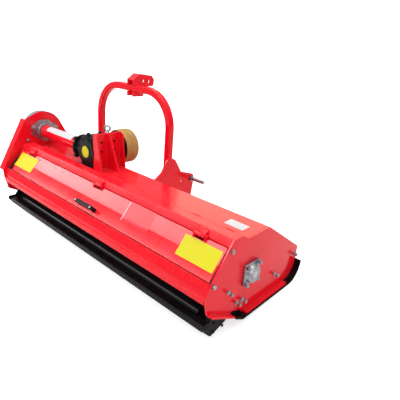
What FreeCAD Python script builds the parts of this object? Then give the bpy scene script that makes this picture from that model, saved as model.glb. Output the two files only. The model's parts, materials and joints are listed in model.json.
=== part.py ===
import FreeCAD, Part
import math
import os
import Sketcher
from FreeCAD import Placement, Rotation, Vector

# Flail mower for a tractor's rear three-point hitch.
# Deck axes while modelling: X across the machine, Y towards the tractor, Z up from the skids' flat soles.
# The machine stands on its skid noses and its lowered roller, so at the end every piece gets one common
# stance: a lean about X and a shift that puts the floor at Z = 0 and the middle of the outline at X = Y = 0.

DRIVING_SIZES = {
    # Deck
    "deck_width": 1750, "plate_wall": 8, "seat_gap": 0.3, "beam_wall": 4, "hood_wall": 4,
    "bend_radius": 5, "beam_back": 109, "beam_front": 55, "deck_top": 409, "step_foot": 8, "step_drop": 25,
    "heel_reach": 20, "heel_drop": 30, "beam_depth": 12,
    "slope_start": 158, "nose_front": 480, "nose_height": 178, "nose_drop": 56, "nose_tuck": 4,
    # End plates
    "chin_front": 474, "chin_radius": 91, "skid_wall": 8, "lip_reach": 27, "lip_bend": 6,
    "lip_front_end": 371, "lip_front_start": 19, "gap_front": 2, "gap_front_height": 29,
    "gap_back": 68, "gap_back_height": 50, "heel_front": 76, "heel_front_height": 35,
    "heel_back": 236, "heel_back_height": 118, "tail_back": 258, "tail_height": 202,
    "tail_top_back": 248, "tail_top_height": 227,
    "belt_side_back": 262, "belt_side_height": 248, "crest_back": 96, "crest_rise": 85,
    "crest_corner_front": 83.4, "crest_corner_rise": 172, "crest_radius": 135, "lip_corner": 12,
    "brow_front": 274, "brow_height": 310, "rim_reach": 50,
    # Lower rear bar
    "bar_wall": 6, "bar_top_back": 232, "bar_top_height": 259, "bar_fold_back": 248, "bar_fold_height": 224,
    "bar_ledge_height": 205, "bar_ledge_back": 257, "bar_ledge_drop": 6, "bar_foot_height": 174,
    # Rear door and its hinges
    "door_wall": 4, "door_crease_back": 179, "door_crease_height": 315, "door_foot_back": 230,
    "door_foot_height": 262, "door_side_gap": 5, "door_top_gap": 4, "door_corner_cut": 52,
    "hinge_stand": 8, "hinge_rise": 2, "hinge_barrel": 7.5, "hinge_pin": 4, "hinge_spacing": 716,
    "hinge_middle": 34, "hinge_side": 24, "hinge_leaf": 3.5, "hinge_leaf_length": 24,
    "handle_length": 167, "handle_middle": 8, "handle_stand": 30, "handle_bar": 12, "handle_width": 14,
    "handle_drop": 128,
    # Skids
    "skid_width": 53, "skid_inset": 20, "skid_flat_back": 15, "skid_tail": 60, "skid_tail_angle": 28,
    "skid_nose_top": 105,
    # Ground roller
    "roller_back": 143, "roller_height": 22.5, "roller_radius": 61, "roller_end_room": 79,
    "roller_cap": 15, "roller_cap_groove": 2, "stub_radius": 15, "arm_wall": 10, "arm_corner": 14,
    "roller_bearing_radius": 42, "roller_bearing_depth": 30, "running_gap": 0.05,
    "arm_bolt_reach": 29, "arm_bolt_rise": 22, "arm_bolt_head": 9, "arm_bolt_height": 6,
    "scraper_wall": 5, "scraper_front": 203, "scraper_height": 58, "scraper_back": 237, "scraper_foot": 24,
    # Rotor
    "rotor_front": 35.5, "rotor_height": 207, "rotor_radius": 57, "rotor_end_room": 45, "pulley_end_room": 9,
    "hammer_count": 10, "hammer_pin_orbit": 85, "hammer_pin_radius": 9, "hammer_reach": 73,
    "hammer_width": 104, "hammer_neck": 36, "hammer_thickness": 14, "hammer_boss": 16,
    "hammer_end_room": 138, "hammer_edge": 14, "hammer_pin_head": 16, "hammer_pin_head_height": 8,
    "hammer_pin_stand": 8, "lug_wall": 12, "lug_side_gap": 1.5, "lug_radius": 17, "lug_root": 8,
    "flange_side": 108, "flange_bolt_spacing": 83, "flange_wall": 13, "flange_depth": 31,
    "flange_boss": 40, "flange_hole": 6.2, "flange_corner": 14, "flange_bolt_height": 9, "shaft_hole": 46,
    # Drive line
    "drive_front": 34, "drive_stand": 94, "input_across": 279, "gearbox_wall_gap": 0.3,
    "gearbox_left": 55, "gearbox_back": 20, "gearbox_front": 150, "gearbox_head": 90,
    "gearbox_stand": 8, "gearbox_round": 22, "gearbox_rib": 8, "gearbox_rib_length": 56, "gearbox_bore": 60,
    "cap_radius": 72, "cap_depth": 11, "cap_disc": 34,
    "neck_radius": 52, "output_flange_across": 490, "output_flange_radius": 71, "output_flange_wall": 14,
    "output_bolt_orbit": 60, "output_bolt_height": 7, "cap_screw_height": 5, "cap_screw_radius": 6,
    "cap_screw_inset": 9, "guard_tube_radius": 41, "guard_tube_wall": 3, "guard_tube_room": 7,
    "guard_ring": 58, "guard_ring_wall": 8, "cross_shaft_radius": 15, "input_shaft_radius": 17.5,
    "input_shaft_end": 276, "input_shaft_shoulder": 18, "cone_start_radius": 62, "cone_end_radius": 101,
    "cone_end": 196, "drum_radius": 105, "drum_end": 284, "drum_seam": 235, "drum_wall": 4,
    "upper_bearing_boss": 55, "upper_bearing_depth": 12,
    "upper_pulley_radius": 108, "lower_pulley_radius": 88, "pulley_rim": 3, "belt_count": 3,
    "belt_width": 13, "belt_height": 9, "belt_pitch": 17, "pulley_offset": 6,
    "cover_reach": 70, "cover_wall": 3, "cover_top_radius": 126, "cover_foot_radius": 112,
    "cover_round": 16, "knob_radius": 14, "knob_height": 22,
    # Gearbox bracket
    "bracket_across": 206, "bracket_wall": 14, "bracket_back": 24, "bracket_front": 160,
    "bracket_foot_front": 186, "bracket_head": 116, "gusset_wall": 10, "gusset_top": 38, "gusset_head": 10,
    # Lifting eye and plugs
    "eye_front": 124, "eye_stand": 32, "eye_radius": 20, "eye_wire": 5, "eye_foot": 12,
    "plug_radius": 11, "plug_height": 18, "plug_rear_back": 6, "plug_front": 72,
    # Hitch
    "frame_back": 295, "frame_tube": 40, "frame_wall": 4, "frame_half_width": 351.5, "frame_top": 852,
    "frame_bend": 195, "frame_edge": 5, "hitch_wall": 12, "pin_front": 494, "pin_height": 318,
    "pin_radius": 11, "pin_length": 109, "pin_collar": 17, "pin_collar_wall": 14, "pin_nut": 18,
    "pin_nut_height": 16, "pin_tail": 26, "pin_hole": 5.5, "pin_hole_inset": 12, "hitch_rear": 191,
    "hitch_front_inset": 6,
    "spare_hole_front": 413, "spare_hole_height": 314, "spare_hole_radius": 8,
    "cheek_wall": 10, "cheek_half_span": 30, "cheek_back": 289, "cheek_heel": 29, "cheek_shoulder": 48,
    "cheek_top": 62, "cheek_crown_front": 143, "cheek_crown": 54, "cheek_nose_front": 164, "cheek_nose": 30,
    "cheek_chin_front": 158, "cheek_chin": 7, "cheek_throat_front": 40, "cheek_throat": 14,
    "cheek_hook_front": 32, "cheek_hook": 28, "bridge_lap": 10,
    "slot_height": 26, "slot_length": 58, "slot_front": 391, "slot_rise": 19,
    # Front guard
    "rod_front": 437, "rod_height": 150, "rod_radius": 8, "rod_stand": 26, "flap_count": 6,
    "flap_gap": 4, "flap_wall": 5, "flap_eye": 13, "flap_length": 122, "flap_bore_gap": 0.3,
    # Fasteners
    "bolt_radius": 6, "bolt_head": 10.5, "bolt_head_height": 7, "stud_stand": 46, "stud_nut_height": 9,
    "stud_rear_back": 110, "stud_rear_height": 169, "stud_middle_back": 39, "stud_middle_height": 84,
    "stud_low_front": 2, "stud_low_height": 81, "stud_front": 268, "stud_front_height": 99,
    "corner_bolt_back": 118, "corner_bolt_height": 363, "bar_bolt_back": 215, "bar_bolt_height": 243,
    "beam_bolt_back": 86, "beam_bolt_rise": 15, "bearing_bolt_rear_back": 44, "bearing_bolt_rear_rise": 28,
    "bearing_bolt_front": 102, "bearing_bolt_front_rise": 17, "bearing_bolt_low_front": 74,
    "bearing_bolt_low_drop": 64, "skid_bolt_front": 380, "skid_bolt_back": 3, "skid_bolt_across": 15,
    "skid_bolt_radius": 8, "skid_bolt_height": 6, "split_pin_radius": 2.2, "split_pin_inset": 9,
    "split_pin_stand": 9,
}

# Side view corners of pieces that have no other size to follow: (forward, up) in the deck's axes,
# and for the upper bearing from the drive line's axis.
ARM_OUTLINE = ((-226, 20), (-188, -18), (-90, 11), (-76, 42), (-14, 42), (-14, 98), (-92, 190), (-134, 190),
               (-183, 92))
HITCH_OUTLINE = ((243, 398), (284, 472), (310, 479), (346, 462), (403, 377), (508, 345), (521, 330),
                 (521, 292), (505, 186))
HITCH_ROUNDS = {1: 14, 2: 14, 3: 14, 5: 14, 6: 10}
BEARING_OUTLINE = ((-94, 41), (-94, -18), (-10, -74), (48, -66), (93, -25), (95, 25), (22, 76), (-32, 77))
GUSSETS = ((-24, 78), (60, 125), (150, 60))


class Size:
    """A length or angle that knows its number and the formula it comes from."""

    def __init__(self, number, formula=None):
        self.number = number
        self.formula = formula or repr(number)

    def __add__(self, other):
        other = as_size(other)
        return Size(self.number + other.number, "(%s + %s)" % (self.formula, other.formula))

    def __sub__(self, other):
        other = as_size(other)
        return Size(self.number - other.number, "(%s - %s)" % (self.formula, other.formula))

    def __mul__(self, other):
        other = as_size(other)
        return Size(self.number * other.number, "(%s * %s)" % (self.formula, other.formula))

    def __truediv__(self, other):
        other = as_size(other)
        return Size(self.number / other.number, "(%s / %s)" % (self.formula, other.formula))

    def __neg__(self):
        return Size(-self.number, "(0 - %s)" % self.formula)

    def __radd__(self, other):
        return as_size(other) + self

    def __rsub__(self, other):
        return as_size(other) - self

    def __rmul__(self, other):
        return as_size(other) * self


def as_size(value):
    return value if isinstance(value, Size) else Size(value)


class SizeSheet:
    """The table of driving sizes, each read by its name."""

    def __init__(self, document, values):
        self.table = document.addObject("Spreadsheet::Sheet", "Sizes")
        for row, (name, value) in enumerate(values.items(), start=1):
            self.table.set("A%d" % row, name)
            self.table.set("B%d" % row, str(value))
            self.table.setAlias("B%d" % row, name)
            setattr(self, name, Size(value, "Sizes." + name))


document = FreeCAD.newDocument("flail_mower")
size = SizeSheet(document, DRIVING_SIZES)
document.recompute()
pieces = {}
placed = {}


# Modelling helpers

def bind(item, name, value):
    item.setExpression(name, as_size(value).formula)


def new_body(label):
    body = document.addObject("PartDesign::Body", label)
    body.Label = label
    return body


def keep(piece, label, local=None):
    """Registers a finished sub-part, with its own place in the deck."""
    piece.Label = label
    pieces[label] = piece
    placed[label] = local or Placement()
    return piece


def new_sketch(body, role, offset=0):
    plane = next(item for item in body.Origin.OriginFeatures if item.Role == role)
    sketch = body.newObject("Sketcher::SketchObject", body.Label + "_sketch")
    sketch.AttachmentSupport = (plane, [""])
    sketch.MapMode = "FlatFace"
    bind(sketch, "AttachmentOffset.Base.z", offset)
    return sketch


def hold(sketch, kind, value, *where):
    index = sketch.addConstraint(Sketcher.Constraint(kind, *where, as_size(value).number))
    bind(sketch, "Constraints[%d]" % index, value)


def draw_loop(sketch, corners):
    """A closed loop of straight lines, each corner held by its own two sizes."""
    corners = [(as_size(across), as_size(up)) for across, up in corners]
    first = sketch.GeometryCount
    count = len(corners)
    for number in range(count):
        start = corners[number]
        end = corners[(number + 1) % count]
        sketch.addGeometry(Part.LineSegment(Vector(start[0].number, start[1].number, 0),
                                            Vector(end[0].number, end[1].number, 0)), False)
    for number in range(count):
        following = first + (number + 1) % count
        sketch.addConstraint(Sketcher.Constraint("Coincident", first + number, 2, following, 1))
    for number, (across, up) in enumerate(corners):
        hold(sketch, "DistanceX", across, -1, 1, first + number, 1)
        hold(sketch, "DistanceY", up, -1, 1, first + number, 1)


def draw_circle(sketch, across, up, radius):
    across, up, radius = as_size(across), as_size(up), as_size(radius)
    index = sketch.addGeometry(Part.Circle(Vector(across.number, up.number, 0), Vector(0, 0, 1),
                                           radius.number), False)
    hold(sketch, "DistanceX", across, -1, 1, index, 3)
    hold(sketch, "DistanceY", up, -1, 1, index, 3)
    hold(sketch, "Radius", radius, index)


def offset_corners(corners, wall):
    """The same open line moved sideways by the wall, to the left of its direction."""
    points = [Vector(across.number, up.number, 0) for across, up in corners]
    moved = []
    for number, point in enumerate(points):
        normals = []
        for start, end in ((number - 1, number), (number, number + 1)):
            if start >= 0 and end < len(points):
                along = (points[end] - points[start]).normalize()
                normals.append(Vector(-along.y, along.x, 0))
        middle = sum(normals, Vector()).normalize()
        moved.append(point + middle * (wall.number / middle.dot(normals[0])))
    return moved


def draw_sheet(sketch, corners, wall):
    """The section of a bent sheet: the given face, and the other face one wall to its left."""
    corners = [(as_size(across), as_size(up)) for across, up in corners]
    inner = offset_corners(corners, wall)
    outer = [Vector(across.number, up.number, 0) for across, up in corners]
    loop = outer + inner[::-1]
    last = len(corners) - 1
    for number, point in enumerate(loop):
        sketch.addGeometry(Part.LineSegment(point, loop[(number + 1) % len(loop)]), False)
    for number in range(len(loop)):
        sketch.addConstraint(Sketcher.Constraint("Coincident", number, 2, (number + 1) % len(loop), 1))
    for number, (across, up) in enumerate(corners):
        hold(sketch, "DistanceX", across, -1, 1, number, 1)
        hold(sketch, "DistanceY", up, -1, 1, number, 1)
    for number in range(last):
        partner = 2 * last - number
        sketch.addConstraint(Sketcher.Constraint("Parallel", number, partner))
        hold(sketch, "Distance", wall, number, 1, partner)
    sketch.addConstraint(Sketcher.Constraint("Perpendicular", 0, len(loop) - 1))
    sketch.addConstraint(Sketcher.Constraint("Perpendicular", last - 1, last))


def pad(body, sketch, length, **options):
    feature = body.newObject("PartDesign::Pad", body.Label + "_pad")
    feature.Profile = sketch
    bind(feature, "Length", length)
    for name, value in options.items():
        setattr(feature, name, value)
    sketch.Visibility = False
    return feature


def pocket(body, sketch):
    """A cut right through, both ways from its sketch."""
    feature = body.newObject("PartDesign::Pocket", body.Label + "_pocket")
    feature.Profile = sketch
    feature.Type = 1
    feature.Midplane = True
    return feature


def turn(body, sketch, axis_role):
    feature = body.newObject("PartDesign::Revolution", body.Label + "_turned")
    feature.Profile = sketch
    axis = next(item for item in body.Origin.OriginFeatures if item.Role == axis_role)
    feature.ReferenceAxis = (axis, [""])
    feature.Angle = 360
    return feature


def round_edges(body, corners, radius, axis="x"):
    """Rounds the straight edges that run along one axis through the given side view corners."""
    document.recompute()
    others = [name for name in "xyz" if name != axis]
    names = []
    for number, edge in enumerate(body.Tip.Shape.Edges, start=1):
        if len(edge.Vertexes) != 2:
            continue
        start, end = (vertex.Point for vertex in edge.Vertexes)
        for across, up in corners:
            near = all(abs(getattr(point, others[0]) - as_size(across).number) < 0.05
                       and abs(getattr(point, others[1]) - as_size(up).number) < 0.05
                       for point in (start, end))
            if near:
                names.append("Edge%d" % number)
    base = body.Tip
    feature = body.newObject("PartDesign::Fillet", body.Label + "_round")
    feature.Base = (base, names)
    bind(feature, "Radius", radius)
    return feature


def round_bends(body, corners, wall):
    """Gives the inner corners of a bent sheet, drawn with draw_sheet, the radius of its bends."""
    corners = [(as_size(across), as_size(up)) for across, up in corners]
    points = [Vector(across.number, up.number, 0) for across, up in corners]
    others = offset_corners(corners, wall)
    for number in range(1, len(points) - 1):
        bend = (points[number] - points[number - 1]).cross(points[number + 1] - points[number]).z
        other = (others[number].x, others[number].y)
        hollow, full = (other, corners[number]) if bend > 0 else (corners[number], other)
        round_edges(body, [hollow], size.bend_radius)
        round_edges(body, [full], size.bend_radius + wall)


def solid_of(kind, label, **sizes):
    item = document.addObject(kind, label)
    for name, value in sizes.items():
        bind(item, name, value)
    return item


def rod(label, start, direction, length, radius):
    """A round bar from a point along a direction."""
    item = solid_of("Part::Cylinder", label, Height=length, Radius=radius)
    item.Placement = Placement(spot(*start), Rotation(Vector(0, 0, 1), Vector(*direction)))
    return item


def spot(x, y, z):
    return Vector(as_size(x).number, as_size(y).number, as_size(z).number)


def hexagon(label, start, direction, length, radius):
    item = solid_of("Part::Prism", label, Height=length, Circumradius=radius)
    item.Polygon = 6
    item.Placement = Placement(spot(*start), Rotation(Vector(0, 0, 1), Vector(*direction)))
    return item


def joined(label, items):
    item = document.addObject("Part::MultiFuse", label)
    item.Shapes = items
    return item


def cut(label, base, tool):
    item = document.addObject("Part::Cut", label)
    item.Base = base
    item.Tool = tool
    return item


def group(label, items):
    item = document.addObject("Part::Compound", label)
    item.Links = items
    return item


def bolt(label, seat, outward, grip):
    """A hexagon head on its seat with the shank going in, as far as the grip."""
    head = hexagon(label + "_head", seat, outward, size.bolt_head_height, size.bolt_head)
    inward = tuple(-part for part in outward)
    shank = rod(label + "_shank", seat, inward, grip, size.bolt_radius)
    return joined(label, [head, shank])


half_width = size.deck_width / 2
inner_half = half_width - size.plate_wall
panel_top = size.deck_top - size.step_drop
beam_heel_back = size.beam_back + size.heel_reach
beam_heel_height = size.deck_top - size.heel_drop
drive_height = panel_top + size.drive_stand
gearbox_top = drive_height + size.gearbox_head
gearbox_foot = panel_top + size.gearbox_stand
bracket_top = drive_height + size.bracket_head
eye_height = gearbox_top + size.eye_stand
roller_half = inner_half - size.roller_end_room
rotor_half = inner_half - size.rotor_end_room
guard_tube_start = inner_half - size.guard_tube_room
stud_places = ((-size.stud_rear_back, size.stud_rear_height), (size.stud_low_front, size.stud_low_height),
               (-size.stud_middle_back, size.stud_middle_height), (size.stud_front, size.stud_front_height))


def plate_bolt_places(side):
    """Where an end plate is bolted to the deck; the belt side holds the beam from above."""
    low = (-size.bar_bolt_back, size.bar_bolt_height)
    if side < 0:
        return ((-size.beam_bolt_back, size.deck_top + size.beam_bolt_rise), low)
    return ((-size.corner_bolt_back, size.corner_bolt_height), low)


def stance_turn():
    """The lean that makes the skid noses and the roller touch one level floor."""
    nose_radius = size.chin_radius.number + size.skid_wall.number
    nose_front = size.chin_front.number - size.chin_radius.number
    rise = nose_radius - size.roller_height.number
    run = nose_front + size.roller_back.number
    between = math.hypot(run, rise)
    lean = math.asin((nose_radius - size.roller_radius.number) / between) - math.atan2(rise, run)
    return Rotation(Vector(1, 0, 0), math.degrees(lean))


def hanging():
    """The turn, within the leaning deck, of a piece that hangs straight down."""
    return stance_turn().inverted()


# End plates

def deck_side_bottom():
    """The lower edge that both end plates share, from the chin round to the tail."""
    return [(size.chin_front, size.skid_nose_top + 3), (size.chin_front, size.skid_wall),
            (size.lip_front_start - size.lip_bend, size.skid_wall),
            (-size.gap_front, size.gap_front_height), (-size.gap_back, size.gap_back_height),
            (-size.heel_front, size.heel_front_height), (-size.heel_back, size.heel_back_height),
            (-size.tail_back, size.tail_height)]


def make_end_plate(label, outline, side, rounds):
    """One end plate with its two lips bent outwards; side is +1 at the right and -1 at the belt side."""
    body = new_body(label)
    inner_face = side * inner_half
    sketch = new_sketch(body, "YZ_Plane", inner_face)
    draw_loop(sketch, outline)
    pad(body, sketch, size.plate_wall, Reversed=side < 0)
    for number, radius in rounds.items():
        round_edges(body, [outline[number]], radius)
    lips = new_sketch(body, "YZ_Plane", inner_face)
    sole = size.skid_wall
    draw_loop(lips, [(size.lip_front_start, sole), (size.lip_front_end, sole),
                     (size.lip_front_end, sole + size.plate_wall),
                     (size.lip_front_start, sole + size.plate_wall)])
    pad(body, lips, size.plate_wall + size.lip_reach, Reversed=side < 0)
    end = side * (half_width + size.lip_reach)
    round_edges(body, [(end, size.lip_front_start), (end, size.lip_front_end)], size.lip_corner, axis="z")
    heel = new_sketch(body, "YZ_Plane", inner_face)
    draw_sheet(heel, [(-size.heel_back, size.heel_back_height), (-size.heel_front, size.heel_front_height)],
               size.plate_wall)
    pad(body, heel, size.plate_wall + size.lip_reach, Reversed=side < 0)
    return body


def shaft_window(body, across, front, height, radius):
    sketch = new_sketch(body, "YZ_Plane", across)
    draw_circle(sketch, front, height, radius)
    pocket(body, sketch)


def right_outline():
    return [(-size.beam_back, size.deck_top), (-size.beam_front, size.deck_top),
            (-size.step_foot, panel_top), (size.slope_start, panel_top),
            (size.nose_front, size.nose_height)] + deck_side_bottom() + [
                (-size.tail_top_back, size.tail_top_height)]


def left_outline():
    return [(-size.crest_back, drive_height + size.crest_rise),
            (size.crest_corner_front, drive_height + size.crest_corner_rise),
            (size.brow_front, size.brow_height), (size.nose_front, size.nose_height)] + deck_side_bottom() + [
                (-size.belt_side_back, size.belt_side_height)]


def make_end_plates():
    right = make_end_plate("right_end_plate", right_outline(), 1, {6: size.chin_radius})
    shaft_window(right, half_width, size.rotor_front, size.rotor_height, size.shaft_hole)
    left = make_end_plate("left_end_plate", left_outline(), -1, {1: size.crest_radius, 5: size.chin_radius})
    shaft_window(left, -half_width, size.rotor_front, size.rotor_height, size.shaft_hole)
    shaft_window(left, -half_width, size.drive_front, drive_height, size.shaft_hole)
    rim = new_sketch(left, "YZ_Plane", -half_width)
    draw_sheet(rim, [(-size.crest_back, drive_height + size.crest_rise),
                     (-size.belt_side_back, size.belt_side_height)], size.plate_wall)
    pad(left, rim, size.rim_reach, Reversed=True)
    for body, side in ((right, 1), (left, -1)):
        holes = new_sketch(body, "YZ_Plane", side * half_width)
        draw_circle(holes, size.rod_front, size.rod_height, size.rod_radius + size.seat_gap)
        for front, up in stud_places + plate_bolt_places(side):
            draw_circle(holes, front, up, size.bolt_radius + size.seat_gap)
        feature = pocket(body, holes)
        feature.Midplane = False
        feature.Type = 0
        feature.Reversed = side < 0
        bind(feature, "Length", size.plate_wall + 1)
        keep(body, body.Label)


# Deck sheets

def beam_outline():
    return [(-beam_heel_back, beam_heel_height), (-size.beam_back, size.deck_top),
            (-size.beam_front, size.deck_top), (-size.step_foot, panel_top),
            (-size.step_foot, panel_top - size.beam_depth),
            (-beam_heel_back + size.beam_wall, panel_top - size.beam_depth)]


def across_pad(body, sketch, width):
    return pad(body, sketch, width, Midplane=True)


def make_crossbeam():
    """A closed box section that carries the hinges, the gearbox bracket and the top panel."""
    body = new_body("crossbeam")
    sketch = new_sketch(body, "YZ_Plane")
    draw_loop(sketch, beam_outline())
    across_pad(body, sketch, 2 * inner_half)
    hollow = new_sketch(body, "YZ_Plane")
    wall = size.beam_wall
    draw_loop(hollow, [(-beam_heel_back + 2 * wall, beam_heel_height),
                       (-size.beam_back + wall, size.deck_top - wall),
                       (-size.beam_front - wall / 2, size.deck_top - wall),
                       (-size.step_foot - 2 * wall, panel_top - size.beam_depth + wall),
                       (-beam_heel_back + 3 * wall, panel_top - size.beam_depth + wall)])
    pocket(body, hollow)
    round_edges(body, [beam_outline()[0], beam_outline()[1], beam_outline()[2]], size.beam_wall)
    keep(body, "crossbeam")


def make_hood():
    """The level top panel, the slope to the front and the short nose, bent from one sheet."""
    body = new_body("hood_panel")
    sketch = new_sketch(body, "YZ_Plane")
    corners = [(size.nose_front - size.nose_tuck, size.nose_height - size.nose_drop),
               (size.nose_front - 2, size.nose_height), (size.slope_start, panel_top),
               (-size.step_foot, panel_top)]
    draw_sheet(sketch, corners, size.hood_wall)
    across_pad(body, sketch, 2 * inner_half)
    round_bends(body, corners, size.hood_wall)
    keep(body, "hood_panel")


def make_lower_bar():
    body = new_body("lower_rear_bar")
    sketch = new_sketch(body, "YZ_Plane")
    corners = [(-size.bar_top_back, size.bar_top_height), (-size.bar_fold_back, size.bar_fold_height),
               (-size.bar_fold_back, size.bar_ledge_height),
               (-size.bar_ledge_back, size.bar_ledge_height - size.bar_ledge_drop),
               (-size.bar_ledge_back, size.bar_foot_height)]
    draw_sheet(sketch, corners, size.bar_wall)
    across_pad(body, sketch, 2 * inner_half)
    keep(body, "lower_rear_bar")


def make_skid(label, side):
    """A steel runner under the end plate, with a round nose and a tail bent up."""
    body = new_body(label)
    angle = math.radians(size.skid_tail_angle.number)
    tail = (-size.skid_flat_back - size.skid_tail * math.cos(angle), size.skid_tail * math.sin(angle))
    nose = size.chin_front + size.skid_wall
    inner_edge = half_width - size.skid_inset
    sketch = new_sketch(body, "YZ_Plane", side * inner_edge)
    draw_sheet(sketch, [tail, (-size.skid_flat_back, 0), (nose, 0), (nose, size.skid_nose_top)],
               size.skid_wall - size.seat_gap)
    pad(body, sketch, size.skid_width, Reversed=side < 0)
    round_edges(body, [(nose, 0)], size.chin_radius + size.skid_wall)
    round_edges(body, [(size.chin_front + size.seat_gap, size.skid_wall - size.seat_gap)],
                size.chin_radius + size.seat_gap)
    keep(body, label)


# Rear door

beam_heel = spot(0, -beam_heel_back, beam_heel_height)
door_crease = spot(0, -size.door_crease_back, size.door_crease_height)
down_door = (door_crease - beam_heel).normalize()
out_of_door = Vector(0, down_door.z, -down_door.y)
beam_rise = (spot(0, -size.beam_back, size.deck_top) - beam_heel).normalize()
out_of_beam = Vector(0, -beam_rise.z, beam_rise.y)
hinge_axis = beam_heel + beam_rise * size.hinge_rise.number + out_of_beam * size.hinge_stand.number
hinge_places = [-size.hinge_spacing.number, 0.0, size.hinge_spacing.number]


def make_door():
    """The rear door: one sheet with a shallow crease, hung from the crossbeam."""
    body = new_body("rear_door")
    sketch = new_sketch(body, "YZ_Plane", -(inner_half - size.door_side_gap))
    top = beam_heel + down_door * size.door_top_gap.number
    draw_sheet(sketch, [(top.y, top.z), (-size.door_crease_back, size.door_crease_height),
                        (-size.door_foot_back, size.door_foot_height)], size.door_wall)
    pad(body, sketch, 2 * (inner_half - size.door_side_gap))
    corner = new_sketch(body, "XZ_Plane")
    side = -(inner_half - size.door_side_gap)
    draw_loop(corner, [(side - 10, size.door_foot_height - 20), (side + size.door_corner_cut,
              size.door_foot_height - 20), (side + size.door_corner_cut, size.door_foot_height),
              (side, beam_heel_height), (side - 10, beam_heel_height)])
    pocket(body, corner)
    keep(body, "rear_door")


def leaf(label, across, width, along, outward, foot):
    """A flat hinge leaf that lies on a sheet, from the barrel along the sheet."""
    item = solid_of("Part::Box", label, Length=width, Width=size.hinge_leaf_length, Height=size.hinge_leaf)
    base = foot + Vector(across, 0, 0) + outward * size.seat_gap.number
    item.Placement = Placement(base, Rotation(Vector(1, 0, 0), along, outward, "ZXY"))
    return item


def knuckle(label, across, width):
    """A hinge barrel with its pin hole."""
    start = (across, hinge_axis.y, hinge_axis.z)
    barrel = rod(label + "_barrel", start, (1, 0, 0), width, size.hinge_barrel)
    bore = rod(label + "_bore", start, (1, 0, 0), width, size.hinge_pin + size.running_gap)
    return barrel, bore


def make_hinge_part(label, across, width, along, outward, foot):
    barrel, bore = knuckle(label, across, width)
    plate = leaf(label + "_leaf", across, width, along, outward, foot)
    return cut(label, joined(label + "_body", [barrel, plate]), bore)


def make_hinges():
    fixed = []
    moving = []
    pins = []
    side = size.hinge_side.number
    middle = size.hinge_middle.number
    gap = 1.0
    for number, place in enumerate(hinge_places, start=1):
        left = place - middle / 2 - gap - side
        right = place + middle / 2 + gap
        for name, across in (("left", left), ("right", right)):
            label = "hinge_%d_%s_knuckle" % (number, name)
            fixed.append(make_hinge_part(label, across, side, beam_rise, out_of_beam,
                                         beam_heel + beam_rise * 0.5))
        moving.append(make_hinge_part("hinge_%d_door_knuckle" % number, place - middle / 2, middle,
                                      -down_door, out_of_door,
                                      beam_heel + down_door * (0.5 + size.hinge_leaf_length.number)))
        start = (left - 4, hinge_axis.y, hinge_axis.z)
        shaft = rod("hinge_%d_pin_shaft" % number, start, (1, 0, 0), 2 * side + middle + 2 * gap + 8,
                    size.hinge_pin)
        head = rod("hinge_%d_pin_head" % number, start, (-1, 0, 0), 3, size.hinge_pin + 2)
        pins.append(joined("hinge_%d_pin" % number, [shaft, head]))
    keep(group("beam_hinges", fixed), "beam_hinges")
    keep(group("door_hinges", moving), "door_hinges")
    keep(group("hinge_pins", pins), "hinge_pins")


def door_frame(drop):
    """A place on the door's outer face, this far below its top edge; X across, Y out of the door."""
    foot = spot(0, -size.door_foot_back, size.door_foot_height)
    along = (foot - door_crease).normalize()
    outward = Vector(0, along.z, -along.y)
    upper = (door_crease - beam_heel).Length
    return Placement(door_crease + along * (drop - upper), Rotation(Vector(1, 0, 0), outward, along, "ZXY"))


def make_handle():
    """A bow handle across the door, with two feet."""
    body = new_body("door_handle")
    half = size.handle_length / 2
    bar = size.handle_bar
    sketch = new_sketch(body, "XY_Plane")
    start = size.seat_gap
    draw_loop(sketch, [(-half, start), (-half + bar, start), (-half + bar * 1.6, size.handle_stand - bar),
                       (half - bar * 1.6, size.handle_stand - bar), (half - bar, start), (half, start),
                       (half - bar / 2, size.handle_stand), (-half + bar / 2, size.handle_stand)])
    pad(body, sketch, size.handle_width, Midplane=True)
    round_edges(body, [(half - bar / 2, size.handle_stand), (-half + bar / 2, size.handle_stand)],
                bar * 0.8, axis="z")
    place = door_frame(size.handle_drop.number)
    place.Base.x = size.handle_middle.number
    keep(body, "door_handle", place)


# Ground roller

def make_roller():
    """A closed steel roller with pressed end caps and stub axles, turned about its own axis."""
    body = new_body("ground_roller")
    sketch = new_sketch(body, "XZ_Plane")
    half = roller_half
    radius = size.roller_radius
    groove = size.roller_cap_groove
    seam = half - size.roller_cap
    end = inner_half - size.seat_gap
    draw_loop(sketch, [(-end, 0), (-end, size.stub_radius), (-half, size.stub_radius), (-half, radius - 3),
                       (-half + 3, radius), (-seam - groove, radius), (-seam, radius - groove),
                       (-seam + groove, radius), (seam - groove, radius), (seam, radius - groove),
                       (seam + groove, radius), (half - 3, radius), (half, radius - 3),
                       (half, size.stub_radius), (end, size.stub_radius), (end, 0)])
    turn(body, sketch, "X_Axis")
    keep(body, "ground_roller", Placement(spot(0, -size.roller_back, size.roller_height), Rotation()))


def make_roller_arm(label, side):
    """The side arm that carries the roller, bolted inside the end plate."""
    body = new_body(label)
    sketch = new_sketch(body, "YZ_Plane", side * (inner_half - size.arm_wall))
    draw_loop(sketch, ARM_OUTLINE)
    pad(body, sketch, size.arm_wall, Reversed=side < 0)
    shaft_window(body, side * inner_half, -size.roller_back, size.roller_height,
                 size.stub_radius + size.running_gap)
    round_edges(body, [ARM_OUTLINE[number] for number in (0, 1, 6, 7)], size.arm_corner)
    keep(body, label)


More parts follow.
